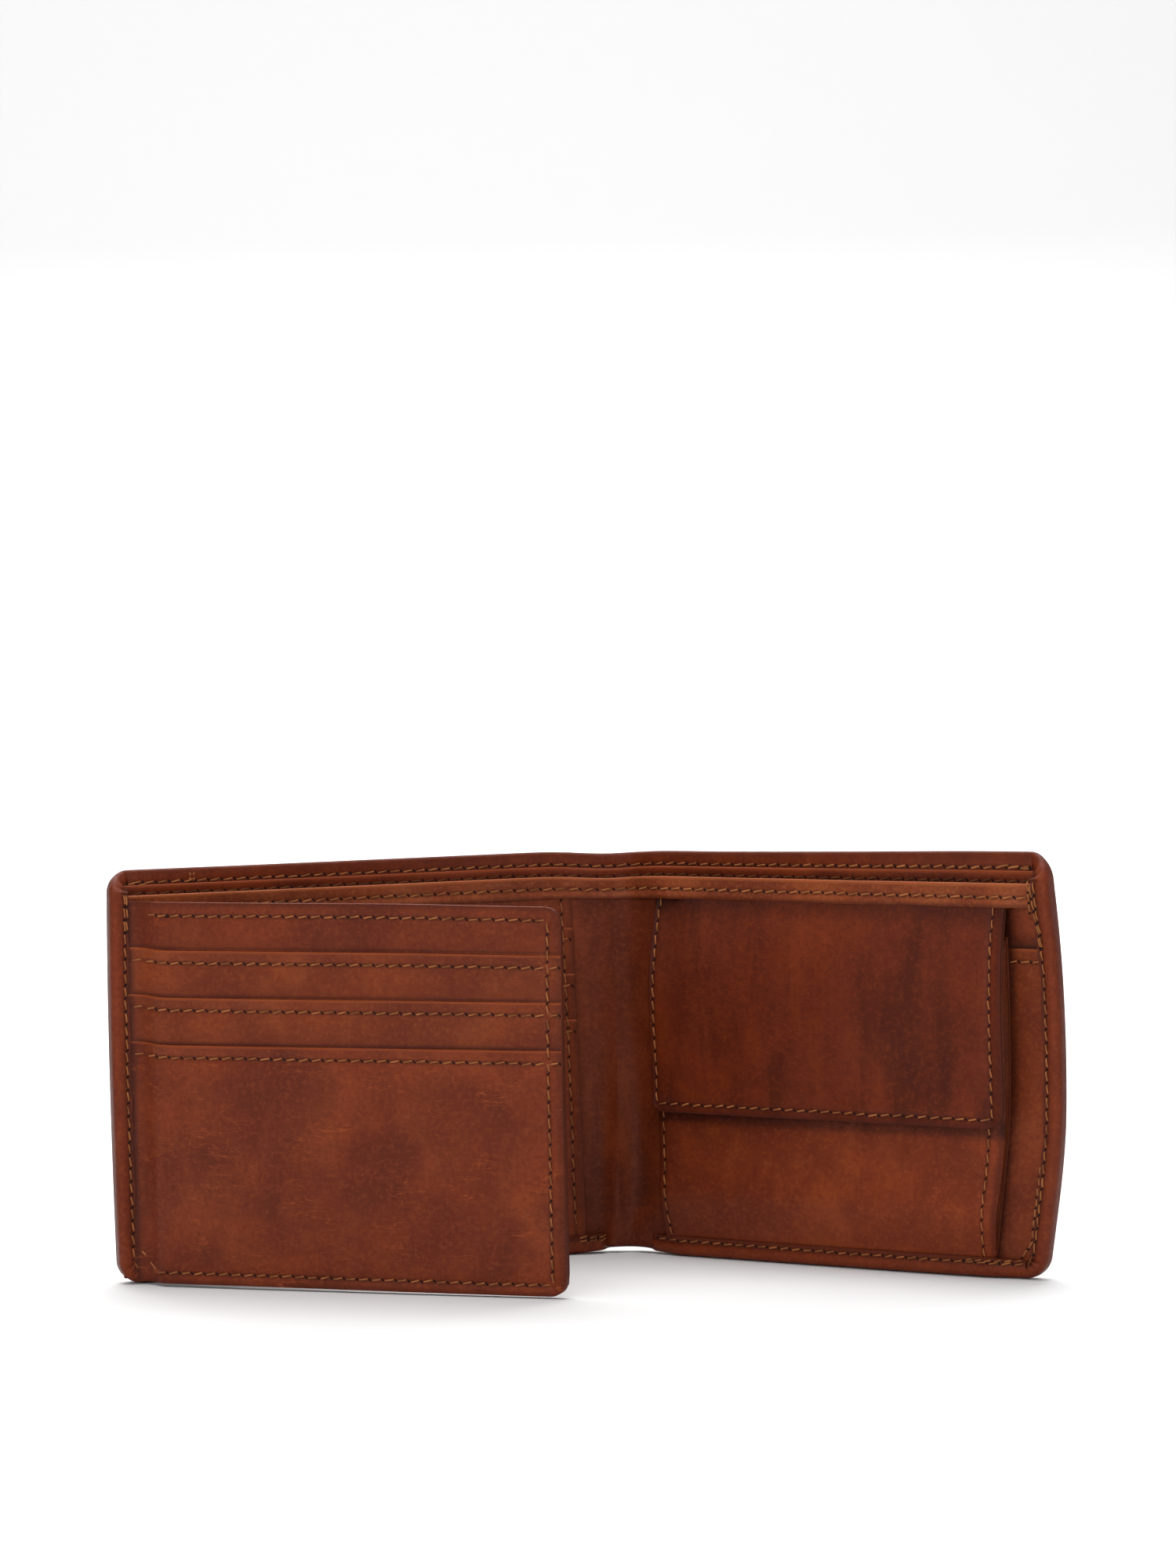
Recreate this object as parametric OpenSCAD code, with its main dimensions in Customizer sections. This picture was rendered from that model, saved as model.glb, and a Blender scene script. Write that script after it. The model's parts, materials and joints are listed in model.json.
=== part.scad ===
/* [Outer size] */
// Height of the cover, standing on its long edge
wallet_h = 95; // [85:1:110]
// Width of one half, from the middle of the spine to the outer edge
half_w = 117; // [110:1:122]
// Outer corner radius of the cover
corner_r = 5; // [3:0.5:8]

/* [Spine] */
// Width of each of the two spine strips
spine_strip = 8; // [8:0.1:8.6]
// Bend at the left crease in the standing position
left_bend = 11; // [5:1:16]
// Bend at the right crease in the standing position
right_bend = 24; // [10:1:28]
// Turn of the left half towards the front
left_turn = 15; // [12:1:22]
// Turn of the right half towards the front
right_turn = 34; // [25:1:36]
// Rise of the cover's bottom edge at the spine
spine_rise = 1.5; // [0:0.1:3]

/* [Cover] */
// Thickness of the cover leather
cover_t = 1; // [0.8:0.1:1.0]
// Width of the turned edge seen from inside
lip_w = 4; // [3.5:0.1:4.5]
// Height of the turned bottom edge
lip_h = 4; // [3:0.1:4]
// Height of the turned hem along the top
hem_h = 8; // [6:0.5:10]

/* [Note pockets] */
// Height of the divider between the two note pockets
divider_h = 91.5; // [90.5:0.5:92]
// Height of the inner wall
wall_h = 89; // [86:0.5:89.5]
// Height of the band along the top of the inner wall
band_h = 5; // [4:0.5:6]

/* [Card pockets] */
// Distance from the leaf's top edge down to the first slot
first_slot = 11; // [9:0.5:13]
// Step from one card slot to the next
slot_step = 10.8; // [9:0.2:12]
// Height of the right slip pocket
slip_h = 73; // [60:1:78]

/* [Swinging leaf] */
// Height of the leaf
leaf_h = 87.5; // [80:0.5:88]
// Length of the leaf from its hinge to its free edge
leaf_len = 103.4; // [92:0.2:103.4]
// How far the leaf stands open from the left half
leaf_open = 36; // [0:1:38]

/* [Coin pocket] */
// Near edge of the coin pocket, from the right crease
coin_near = 8.8; // [8:0.1:12]
// Far edge of the coin pocket, from the right crease
coin_far = 100.8; // [88:0.1:101]
// Height of the coin pocket's opening
coin_top = 78.5; // [70:0.5:78.5]
// Depth of the coin pocket's inside
coin_depth = 3.8; // [2:0.1:3.8]
// Height of the flap's lower edge
flap_low = 34.5; // [25:0.5:50]

/* [Hidden] */

// Colours
leather = [0.50, 0.23, 0.12];
leather_dark = [0.38, 0.17, 0.09];
leather_light = [0.57, 0.28, 0.15];
lining_c = [0.30, 0.15, 0.09];
board_c = [0.70, 0.62, 0.50];
thread_c = [0.66, 0.44, 0.24];
brass_c = [0.78, 0.62, 0.32];

// Depths through the stack, from the cover's outer face inwards
crease_w = 3;
board_w = [1.0, 1.2];
lining_w = [1.2, 1.5];
hem_w = [1.0, 1.6];
divider_w = [1.8, 2.4];
wall_w = [2.6, 3.2];
backing_w = [3.2, 3.6];
pocket_t = 0.5;
band_left_w = [3.6, 4.3];
band_spine_w = [3.2, 3.9];
band_right_w = [3.8, 4.5];
lip_t = 0.8;
lip_left_top = 5.9;
lip_right_top = 4.5;
slip_w = [3.2, 3.7];
coin_back_w = [3.7, 4.2];
coin_front_t = 0.8;
coin_front_w = [coin_back_w[1] + coin_depth, coin_back_w[1] + coin_depth + coin_front_t];
flap_gap = 0.3;
flap_lining_w = [coin_front_w[1] + flap_gap, coin_front_w[1] + flap_gap + 0.6];
flap_outer_w = [flap_lining_w[1], flap_lining_w[1] + 0.7];
root_w = [3.2, 3.8];

// Threads
thread_t = 0.15;
thread_wd = 0.5;

// Gaps and setbacks at the creases
outer_gap = 0.15;
inner_gap = 0.75;
panel_gap = 1;
edge_gap = 0.1;
inset = cover_t + edge_gap;

// Panels
far = half_w - spine_strip;
hem_gap = 0.3;
stiff_margin = 4;
pocket_top = [for (i = [0:2]) 0.6 + leaf_h - first_slot - i * slot_step];
backing_h = wall_h - 1;
content_r = corner_r - 1;
stitch_in = 3.3;
slot_stitch = 2.9;

// Leaf
leaf_low = 0.6;
leaf_start = 3;
leaf_tongue = 0.3;
leaf_r = 4;
board_in = 2;
leaf_pivot_u = far - lip_w - 0.6;
leaf_pivot_w = lip_left_top + 1.3;
leaf_d = [-1.0, -0.6, -0.2, 0.2, 0.6, 1.0, 1.4];

// Coin pocket and flap
gusset_t = 0.7;
coin_low = lip_h + 0.2;
flap_near = coin_near - 0.8;
flap_far = coin_far - 0.2;
flap_pivot_z = coin_top + 1.6;
flap_pivot_w = (flap_lining_w[0] + flap_outer_w[1]) / 2;
flap_top = flap_pivot_z - 0.3;
flap_r = 4.5;
root_end = flap_pivot_w - 1;
snap_u = (flap_near + flap_far) / 2;
snap_z = flap_low + 9;

// Headings of the four panels, away from the straight-open line
head_a = left_turn - left_bend;
head_b = right_turn - right_bend;

// Points in plan: s along the panel from its crease, w the depth
function left_dir(h) = [-cos(h), -sin(h)];
function left_in(h) = [sin(h), -cos(h)];
function right_dir(h) = [cos(h), -sin(h)];
function right_in(h) = [-sin(h), -cos(h)];
crease_l = spine_strip * left_dir(head_a);
crease_r = spine_strip * right_dir(head_b);
function left_pt(u, w) =
  crease_l + u * left_dir(left_turn) + (w - crease_w) * left_in(left_turn);
function right_pt(u, w) =
  crease_r + u * right_dir(right_turn) + (w - crease_w) * right_in(right_turn);
function leaf_pt(k, d) = left_pt(
  leaf_pivot_u - k * cos(leaf_open) + d * sin(leaf_open),
  leaf_pivot_w + k * sin(leaf_open) + d * cos(leaf_open));
function spine_pt(s, w) = s * left_dir(head_a) + (w - crease_w) * left_in(head_a);

// The plan's extremes, which set the origin at the middle of the bounding box
extremes = [
  left_pt(far, 0), left_pt(far, lip_left_top),
  right_pt(far, 0), right_pt(far, lip_right_top),
  right_pt(flap_far, flap_outer_w[1] + thread_t),
  leaf_pt(leaf_len, leaf_d[0]), leaf_pt(leaf_len, leaf_d[6]),
  spine_pt(outer_gap, 0)
];
xs = [for (p = extremes) p[0]];
ys = [for (p = extremes) p[1]];
origin = [-(min(xs) + max(xs)) / 2, -(min(ys) + max(ys)) / 2, 0];

// Frames: x runs outwards from the crease, -y is the inside, z is up
module spine_a_frame() {
  translate(origin) rotate([0, 0, head_a]) mirror([1, 0, 0]) children();
}
module spine_b_frame() {
  translate(origin) rotate([0, 0, -head_b]) children();
}
module left_frame() {
  translate(origin + [crease_l[0], crease_l[1], 0])
    rotate([0, 0, left_turn]) mirror([1, 0, 0]) children();
}
module right_frame() {
  translate(origin + [crease_r[0], crease_r[1], 0])
    rotate([0, 0, -right_turn]) children();
}
// In the leaf's frame x runs from its hinge to its free edge and -y is the front
module leaf_frame() {
  left_frame()
    translate([leaf_pivot_u, crease_w - leaf_pivot_w, 0])
      rotate([0, 0, leaf_open]) mirror([1, 0, 0]) children();
}

// An outline with its own radius at each far and near corner
arc_steps = 6;
function arc(cx, cz, r, a) = r <= 0
  ? [[cx, cz]]
  : [for (i = [0:arc_steps]) [cx + r * cos(a + 90 * i / arc_steps), cz + r * sin(a + 90 * i / arc_steps)]];
function outline(u0, u1, z0, z1, fb, ft, nt, nb) = concat(
  arc(u0 + nb, z0 + nb, nb, 180), arc(u1 - fb, z0 + fb, fb, 270),
  arc(u1 - ft, z1 - ft, ft, 0), arc(u0 + nt, z1 - nt, nt, 90));
// A flat sheet between two depths, measured from a plane at depth base
module sheet(u, z, w, fb = 0, ft = 0, nt = 0, nb = 0, base = crease_w) {
  translate([0, base - w[0], 0]) rotate([90, 0, 0])
    linear_extrude(w[1] - w[0])
      polygon(outline(u[0], u[1], z[0], z[1], fb, ft, nt, nb));
}
// A thread lying on a face at depth w
module thread_along(u, z, w, base = crease_w) {
  sheet([u[0], u[1]], [z - thread_wd / 2, z + thread_wd / 2], [w, w + thread_t], base = base);
}
module thread_up(u, z, w, base = crease_w) {
  sheet([u - thread_wd / 2, u + thread_wd / 2], [z[0], z[1]], [w, w + thread_t], base = base);
}
// A round disc in a sheet, with its axis through the depth
module disc(u, z, w, r) {
  translate([u, crease_w - w[0], z]) rotate([90, 0, 0]) cylinder(h = w[1] - w[0], r = r, $fn = 64);
}

// Parts that the two halves share
module cover() {
  sheet([outer_gap, far], [0, wallet_h], [0, cover_t], fb = corner_r, ft = corner_r);
}
module turned_hem() {
  sheet([outer_gap, far - lip_w], [wallet_h - hem_h, wallet_h], hem_w);
}
module turned_side(top) {
  intersection() {
    union() {
      sheet([far - cover_t, far], [0, wallet_h], [cover_t, top]);
      sheet([far - lip_w, far], [0, wallet_h], [top - lip_t, top]);
    }
    sheet([0, far], [0, wallet_h], [0, top], fb = corner_r, ft = corner_r);
  }
}
module turned_bottom(top) {
  sheet([panel_gap, far - lip_w], [0, cover_t], [cover_t, top]);
  sheet([panel_gap, far - lip_w], [0, lip_h], [top - lip_t, top]);
}
module stiffener() {
  sheet([stiff_margin, far - lip_w - hem_gap], [stiff_margin, wallet_h - hem_h - hem_gap], board_w);
}
module note_lining() {
  sheet([outer_gap, far - inset], [inset, wallet_h - hem_h - hem_gap], lining_w, fb = content_r);
}
module divider() {
  sheet([outer_gap, far - inset], [inset, divider_h], divider_w, fb = content_r);
}
module inner_wall() {
  sheet([inner_gap, far - inset], [inset, wall_h], wall_w, fb = content_r);
}
module band(end, w) {
  sheet([inner_gap, end], [wall_h - band_h, wall_h], w);
}
module thread_border(top) {
  thread_up(far - stitch_in, [lip_h, wallet_h - lip_h], top);
  thread_along([panel_gap + 1, far - stitch_in - thread_wd], lip_h / 2 + 0.3, top);
}
module thread_top(end, band_top) {
  thread_along([panel_gap, far - lip_w - 1], wallet_h - 2, hem_w[1]);
  thread_along([panel_gap, far - lip_w - 1], divider_h - 1.5, divider_w[1]);
  thread_along([panel_gap, end - 1], wall_h - 2.9, band_top);
}
// Parts that the two spine strips share
module spine_cover() {
  sheet([outer_gap, spine_strip - outer_gap], [spine_rise, wallet_h], [0, cover_t]);
  sheet([outer_gap, spine_strip - outer_gap], [wallet_h - hem_h, wallet_h], hem_w);
}
module spine_lining() {
  sheet([outer_gap, spine_strip - outer_gap], [spine_rise + 0.5, wallet_h - hem_h - hem_gap], lining_w);
}
module spine_divider() {
  sheet([outer_gap, spine_strip - outer_gap], [spine_rise + 0.5, divider_h], divider_w);
}
module spine_wall() {
  sheet([inner_gap, spine_strip - inner_gap], [spine_rise + 0.5, wall_h], wall_w);
}
module spine_band() {
  sheet([inner_gap, spine_strip - inner_gap], [wall_h - band_h, wall_h], band_spine_w);
}

// Left half
module cover_left() { color(leather) left_frame() cover(); }
module turned_side_left() { color(leather_dark) left_frame() turned_side(lip_left_top); }
module turned_bottom_left() { color(leather_dark) left_frame() turned_bottom(lip_left_top); }
module turned_hem_left() { color(leather_dark) left_frame() turned_hem(); }
module stiffener_left() { color(board_c) left_frame() stiffener(); }
module note_lining_left() { color(lining_c) left_frame() note_lining(); }
module divider_left() { color(leather_dark) left_frame() divider(); }
module inner_wall_left() { color(leather) left_frame() inner_wall(); }
module band_left() { color(leather_light) left_frame() band(far - inset, band_left_w); }
module card_backing_left() {
  color(leather) left_frame()
    sheet([panel_gap, far - inset], [inset, backing_h], backing_w, fb = content_r);
}
module card_pocket(i) {
  w0 = backing_w[1] + i * pocket_t;
  sheet([panel_gap, far - inset], [inset, pocket_top[i]], [w0, w0 + pocket_t], fb = content_r);
}
module card_pocket_left_1() { color(leather) left_frame() card_pocket(0); }
module card_pocket_left_2() { color(leather_light) left_frame() card_pocket(1); }
module card_pocket_left_3() { color(leather) left_frame() card_pocket(2); }
module thread_border_left() { color(thread_c) left_frame() thread_border(lip_left_top); }
module thread_top_left() {
  color(thread_c) left_frame() thread_top(far - lip_w, band_left_w[1]);
}
module thread_cards_left() {
  color(thread_c) left_frame() {
    for (i = [0:2])
      thread_along([panel_gap + 1, far - lip_w - 1], pocket_top[i] - slot_stitch,
        backing_w[1] + (i + 1) * pocket_t);
    thread_up(panel_gap + 2.6, [lip_h + 1, pocket_top[2] - slot_stitch],
      backing_w[1] + 3 * pocket_t);
  }
}

// Spine strips
module cover_spine_a() { color(leather_dark) spine_a_frame() spine_cover(); }
module note_lining_spine_a() { color(lining_c) spine_a_frame() spine_lining(); }
module divider_spine_a() { color(leather_dark) spine_a_frame() spine_divider(); }
module inner_wall_spine_a() { color(leather_dark) spine_a_frame() spine_wall(); }
module band_spine_a() { color(leather_light) spine_a_frame() spine_band(); }
module cover_spine_b() { color(leather_dark) spine_b_frame() spine_cover(); }
module note_lining_spine_b() { color(lining_c) spine_b_frame() spine_lining(); }
module divider_spine_b() { color(leather_dark) spine_b_frame() spine_divider(); }
module inner_wall_spine_b() { color(leather_dark) spine_b_frame() spine_wall(); }
module band_spine_b() { color(leather_light) spine_b_frame() spine_band(); }

// Right half
module cover_right() { color(leather) right_frame() cover(); }
module turned_side_right() { color(leather_dark) right_frame() turned_side(lip_right_top); }
module turned_bottom_right() { color(leather_dark) right_frame() turned_bottom(lip_right_top); }
module turned_hem_right() { color(leather_dark) right_frame() turned_hem(); }
module stiffener_right() { color(board_c) right_frame() stiffener(); }
module note_lining_right() { color(lining_c) right_frame() note_lining(); }
module divider_right() { color(leather_dark) right_frame() divider(); }
module inner_wall_right() { color(leather) right_frame() inner_wall(); }
module band_right() { color(leather_light) right_frame() band(far - lip_w - edge_gap, band_right_w); }
module slip_pocket_right() {
  color(leather) right_frame()
    sheet([panel_gap, far - inset], [inset, slip_h], slip_w, fb = content_r);
}
module coin_back() {
  color(leather_dark) right_frame() sheet([coin_near, coin_far], [coin_low, coin_top - 1], coin_back_w);
}
module coin_front() {
  color(leather) right_frame() difference() {
    sheet([coin_near, coin_far], [coin_low, coin_top], coin_front_w);
    disc(snap_u, snap_z, [coin_front_w[0] - 1, coin_front_w[1] + 1], 1.3);
  }
}
module coin_gusset_left() {
  color(leather_dark) right_frame()
    sheet([coin_near, coin_near + gusset_t], [coin_low, coin_top - 1],
      [coin_back_w[1], coin_front_w[0]]);
}
module coin_gusset_right() {
  color(leather_dark) right_frame()
    sheet([coin_far - gusset_t, coin_far], [coin_low, coin_top - 1],
      [coin_back_w[1], coin_front_w[0]]);
}
module coin_gusset_bottom() {
  color(leather_dark) right_frame()
    sheet([coin_near + gusset_t, coin_far - gusset_t], [coin_low, coin_low + gusset_t],
      [coin_back_w[1], coin_front_w[0]]);
}
// The sewn end of the flap: it runs from under the band over the pocket's mouth
module coin_flap_root() {
  tab_low = wall_h - band_h - edge_gap;
  slope_low = flap_pivot_z + 0.4;
  color(leather) right_frame()
    translate([flap_near, crease_w, 0]) rotate([90, 0, 90])
      linear_extrude(flap_far - flap_near)
        polygon([
          [-root_w[0], tab_low - 0.7], [-root_end, slope_low], [-root_end, slope_low + 0.7],
          [-root_w[1], tab_low], [-root_w[1], wall_h - 1], [-root_w[0], wall_h - 1]
        ]);
}
module snap_stud() {
  color(brass_c) right_frame() {
    disc(snap_u, snap_z, [coin_front_w[1], coin_front_w[1] + 0.2], 3);
    disc(snap_u, snap_z, [coin_front_w[1] + 0.2, coin_front_w[1] + 0.7], 1.7);
  }
}
module snap_post() {
  color(brass_c) right_frame() {
    disc(snap_u, snap_z, [coin_front_w[0] - 0.4, coin_front_w[0]], 4.5);
    disc(snap_u, snap_z, coin_front_w, 1.2);
  }
}
module thread_border_right() { color(thread_c) right_frame() thread_border(lip_right_top); }
module thread_top_right() {
  color(thread_c) right_frame() thread_top(far - lip_w, band_right_w[1]);
}
module thread_coin() {
  color(thread_c) right_frame() {
    thread_up(coin_near + 1.4, [coin_low + 1, coin_top - 1], coin_front_w[1]);
    thread_up(coin_far - 3.4, [coin_low + 1, coin_top - 1], coin_front_w[1]);
  }
}

// Swinging leaf
module leaf_sheet(start, top, w) {
  sheet([start, leaf_len], [leaf_low, top], w, fb = leaf_r, ft = top < leaf_low + leaf_h ? 0 : leaf_r,
    base = 0);
}
module leaf_back() {
  color(leather) leaf_frame()
    leaf_sheet(leaf_start, leaf_low + leaf_h, [leaf_d[0], leaf_d[1]]);
}
module leaf_board() {
  color(board_c) leaf_frame()
    sheet([leaf_start + 2, leaf_len - board_in], [leaf_low + board_in, leaf_low + leaf_h - board_in],
      [leaf_d[1], leaf_d[2]], base = 0);
}
module leaf_top_panel() {
  color(leather_light) leaf_frame()
    leaf_sheet(leaf_tongue, leaf_low + leaf_h, [leaf_d[2], leaf_d[3]]);
}
module leaf_pocket_1() {
  color(leather) leaf_frame() leaf_sheet(leaf_start, pocket_top[0], [leaf_d[3], leaf_d[4]]);
}
module leaf_pocket_2() {
  color(leather_light) leaf_frame() leaf_sheet(leaf_start, pocket_top[1], [leaf_d[4], leaf_d[5]]);
}
module leaf_pocket_3() {
  color(leather) leaf_frame() leaf_sheet(leaf_start, pocket_top[2], [leaf_d[5], leaf_d[6]]);
}
module thread_leaf() {
  seam = [leaf_start + 1, leaf_len - stitch_in];
  color(thread_c) leaf_frame() {
    thread_along(seam, leaf_low + leaf_h - 3.1, leaf_d[3], base = 0);
    for (i = [0:2])
      thread_along(seam, pocket_top[i] - slot_stitch, leaf_d[4 + i], base = 0);
    thread_along(seam, leaf_low + 2.5, leaf_d[6], base = 0);
    thread_up(leaf_len - stitch_in, [leaf_low + 2.5, pocket_top[2] - slot_stitch], leaf_d[6], base = 0);
  }
}

// Coin flap
module flap_outer() {
  color(leather) right_frame() difference() {
    sheet([flap_near, flap_far], [flap_low, flap_top], flap_outer_w, fb = flap_r, nb = 2);
    disc(snap_u, snap_z, [flap_outer_w[0] - 1, flap_outer_w[0] + 0.25], 5.1);
  }
}
module flap_lining() {
  color(lining_c) right_frame() difference() {
    sheet([flap_near, flap_far], [flap_low, flap_top], flap_lining_w, fb = flap_r, nb = 2);
    disc(snap_u, snap_z, [flap_lining_w[0] - 1, flap_lining_w[1] + 1], 4.5);
  }
}
module snap_socket() {
  color(brass_c) right_frame() difference() {
    disc(snap_u, snap_z, flap_lining_w, 4.5);
    disc(snap_u, snap_z, [flap_lining_w[0] - 1, flap_lining_w[1] + 1], 2.2);
  }
}
module snap_cap() {
  color(brass_c) right_frame()
    disc(snap_u, snap_z, [flap_outer_w[0], flap_outer_w[0] + 0.25], 5.1);
}
module thread_flap() {
  color(thread_c) right_frame() {
    thread_up(flap_near + 1.2, [flap_low + 2, flap_top - 1], flap_outer_w[1]);
    thread_up(flap_far - 3, [flap_low + 2, flap_top - 1], flap_outer_w[1]);
    thread_along([flap_near + 1.2, flap_far - 3], flap_low + 2, flap_outer_w[1]);
  }
}

cover_left();
turned_side_left();
turned_bottom_left();
turned_hem_left();
stiffener_left();
note_lining_left();
divider_left();
inner_wall_left();
band_left();
card_backing_left();
card_pocket_left_1();
card_pocket_left_2();
card_pocket_left_3();
thread_border_left();
thread_top_left();
thread_cards_left();
cover_spine_a();
note_lining_spine_a();
divider_spine_a();
inner_wall_spine_a();
band_spine_a();
cover_spine_b();
note_lining_spine_b();
divider_spine_b();
inner_wall_spine_b();
band_spine_b();
cover_right();
turned_side_right();
turned_bottom_right();
turned_hem_right();
stiffener_right();
note_lining_right();
divider_right();
inner_wall_right();
band_right();
slip_pocket_right();
coin_back();
coin_front();
coin_gusset_left();
coin_gusset_right();
coin_gusset_bottom();
coin_flap_root();
snap_stud();
snap_post();
thread_border_right();
thread_top_right();
thread_coin();
leaf_back();
leaf_board();
leaf_top_panel();
leaf_pocket_1();
leaf_pocket_2();
leaf_pocket_3();
thread_leaf();
flap_outer();
flap_lining();
snap_socket();
snap_cap();
thread_flap();
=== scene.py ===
import json
import math

import bmesh
import bpy
import numpy as np
from mathutils import Matrix, Vector


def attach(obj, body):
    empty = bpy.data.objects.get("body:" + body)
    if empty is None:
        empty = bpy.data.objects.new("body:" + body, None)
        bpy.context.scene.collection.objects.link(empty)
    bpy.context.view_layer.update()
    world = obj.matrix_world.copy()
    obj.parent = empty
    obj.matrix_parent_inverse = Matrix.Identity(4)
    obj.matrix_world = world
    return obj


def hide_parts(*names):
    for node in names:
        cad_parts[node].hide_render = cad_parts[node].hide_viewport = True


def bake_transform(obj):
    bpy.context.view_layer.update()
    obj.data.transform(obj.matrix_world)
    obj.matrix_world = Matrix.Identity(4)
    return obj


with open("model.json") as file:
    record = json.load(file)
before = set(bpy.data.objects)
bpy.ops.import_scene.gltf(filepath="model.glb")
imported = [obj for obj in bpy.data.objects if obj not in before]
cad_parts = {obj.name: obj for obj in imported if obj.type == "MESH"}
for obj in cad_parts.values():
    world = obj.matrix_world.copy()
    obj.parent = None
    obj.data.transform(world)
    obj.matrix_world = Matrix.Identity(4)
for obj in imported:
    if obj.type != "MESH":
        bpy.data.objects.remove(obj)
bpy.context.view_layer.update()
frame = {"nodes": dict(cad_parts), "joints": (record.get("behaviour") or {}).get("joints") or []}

# ---------------------------------------------------------------- frames in plan
# All lengths below are in millimetres until a mesh is made.
JOINTS = {j["name"]: j for j in frame["joints"]}


def joint_xy(name):
    return np.array(JOINTS[name]["pos_m"][:2]) * 1000


def turned(v, degrees):
    a = math.radians(degrees)
    return np.array([v[0] * math.cos(a) - v[1] * math.sin(a),
                     v[0] * math.sin(a) + v[1] * math.cos(a)])


class Plan:
    """A panel's frame in plan: u runs outwards from its crease, w is the depth inwards."""

    def __init__(self, origin, along, inwards, u0=0.0, w0=0.0):
        self.origin, self.along, self.inwards, self.u0, self.w0 = origin, along, inwards, u0, w0

    def at(self, u, w):
        u, w = np.asarray(u, float) - self.u0, np.asarray(w, float) - self.w0
        return self.origin + u[..., None] * self.along + w[..., None] * self.inwards

    def span(self, node):
        """(u0, u1, w0, w1, z0, z1) of a CAD node in this frame."""
        co = np.array([v.co for v in frame["nodes"][node].data.vertices]) * 1000
        p = co[:, :2] - self.origin
        u, w = p @ self.along + self.u0, p @ self.inwards + self.w0
        return u.min(), u.max(), w.min(), w.max(), co[:, 2].min(), co[:, 2].max()


C_L, C_C, C_R = (joint_xy("crease_" + n) for n in ("left", "centre", "right"))
STRIP = float(np.linalg.norm(C_L - C_C))
dir_a = (C_L - C_C) / STRIP
dir_b = (C_R - C_C) / STRIP
BEND_L = -JOINTS["crease_left"]["range_deg"][0]
BEND_R = -JOINTS["crease_right"]["range_deg"][0]
LEAF_OPEN = JOINTS["leaf_swing"]["range_deg"][1]
dir_l, dir_r = turned(dir_a, BEND_L), turned(dir_b, -BEND_R)
PLAN_A = Plan(C_C, dir_a, turned(dir_a, 90))
PLAN_B = Plan(C_C, dir_b, turned(dir_b, -90))
PLAN_L = Plan(C_L, dir_l, turned(dir_l, 90), STRIP)
PLAN_R = Plan(C_R, dir_r, turned(dir_r, -90), STRIP)
CREASE_W = -PLAN_L.span("cover_left")[2]
for plan in (PLAN_A, PLAN_B, PLAN_L, PLAN_R):
    plan.w0 = CREASE_W
HALF = PLAN_L.span("cover_left")[1]
HIGH = PLAN_L.span("cover_left")[5]
PIVOT = joint_xy("leaf_swing")
dir_leaf = turned(-dir_l, -LEAF_OPEN)
PLAN_LEAF = Plan(PIVOT, dir_leaf, turned(dir_leaf, -90))
PIVOT_S = float((PIVOT - C_L) @ dir_l) + STRIP
PIVOT_W = float((PIVOT - C_L) @ PLAN_L.inwards) + CREASE_W


def waves(seed, size, lengths=(34, 19, 11)):
    """A smooth random height over (u, z), in millimetres, the same on every run."""
    r = np.random.RandomState(seed)
    terms = []
    for n, length in enumerate(lengths):
        for _ in range(4):
            a = r.uniform(0, 2 * math.pi)
            k = 2 * math.pi / (length * r.uniform(0.8, 1.3))
            terms.append((k * math.cos(a), k * math.sin(a), r.uniform(0, 6.3), size / (n + 1.4) / 2.2))

    def height(u, z):
        return sum(g * np.sin(a * u + b * z + p) for a, b, p, g in terms)

    return height


SLACK = waves(7, 1.0, (90, 60))


SNAP = (62, 43)  # the press stud's place, as (s, z)


def off_snap(s, z):
    """0 at the snap, 1 a little away from it: the leather lies flat round the snap's halves."""
    return 1 - np.exp(-(((s - SNAP[0]) / 9) ** 2 + ((z - SNAP[1]) / 9) ** 2) ** 2)


def smooth(t):
    t = np.clip(t, 0, 1)
    return t * t * (3 - 2 * t)


def step(x, a, b):
    return smooth((np.asarray(x, float) - a) / (b - a))


ZONE = 4.0  # half the width of leather that each crease bends
BOW = 3.2  # the right edge's bulge at mid-height
ARCH = 0.8  # how far the bottom edge rises at the spine
DIP = 0.8  # how far the top edge sinks there


def bow(s, z):
    """How far the loose right edge, and a little the left one, bulge outwards at mid-height."""
    near = np.clip(1 - ((z - HIGH / 2) / (HIGH / 2)) ** 2, 0, 1)
    return BOW * near * step(s, 60, HALF) - 0.6 * near * step(-s, 60, HALF)


def shaped(s, w, z):
    """The slack of the whole wallet, the same for every layer."""
    away = 1 - np.exp(-(((s - SNAP[0]) / 20) ** 2 + ((z - SNAP[1]) / 20) ** 2))
    w = w + 0.5 * SLACK(s, z) * away
    s = s + bow(s, z) - 1.7 * (1 - step(z, 0, 38)) * step(s, 70, HALF)
    z = z + ARCH * np.exp(-(((s - 5) / 8) ** 2)) * (1 - step(z, 0, 22))
    z = z - DIP * np.exp(-(((s - 2) / 9) ** 2)) * step(z, 75, 92)
    z = z + 1.6 * step(s, 15, HALF) * np.clip((z - 88) / 7, 0, 1)
    return s, w, z


def place(s, w, z):
    """Open wallet coordinates to the row frame: s from the spine's middle, left negative."""
    s, w, z = (np.asarray(x, float) for x in np.broadcast_arrays(s, w, z))
    s, w, z = shaped(s, w, z)
    mid_b = step(s, -ZONE, ZONE)[..., None]
    out_l = step(-s, STRIP - ZONE, STRIP + ZONE)[..., None]
    out_r = step(s, STRIP - ZONE, STRIP + ZONE)[..., None]
    xy = (1 - mid_b) * PLAN_A.at(-s, w) + mid_b * PLAN_B.at(s, w)
    xy = (1 - out_l) * xy + out_l * PLAN_L.at(-s, w)
    xy = (1 - out_r) * xy + out_r * PLAN_R.at(s, w)
    return np.concatenate([xy, z[..., None]], -1)


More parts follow.
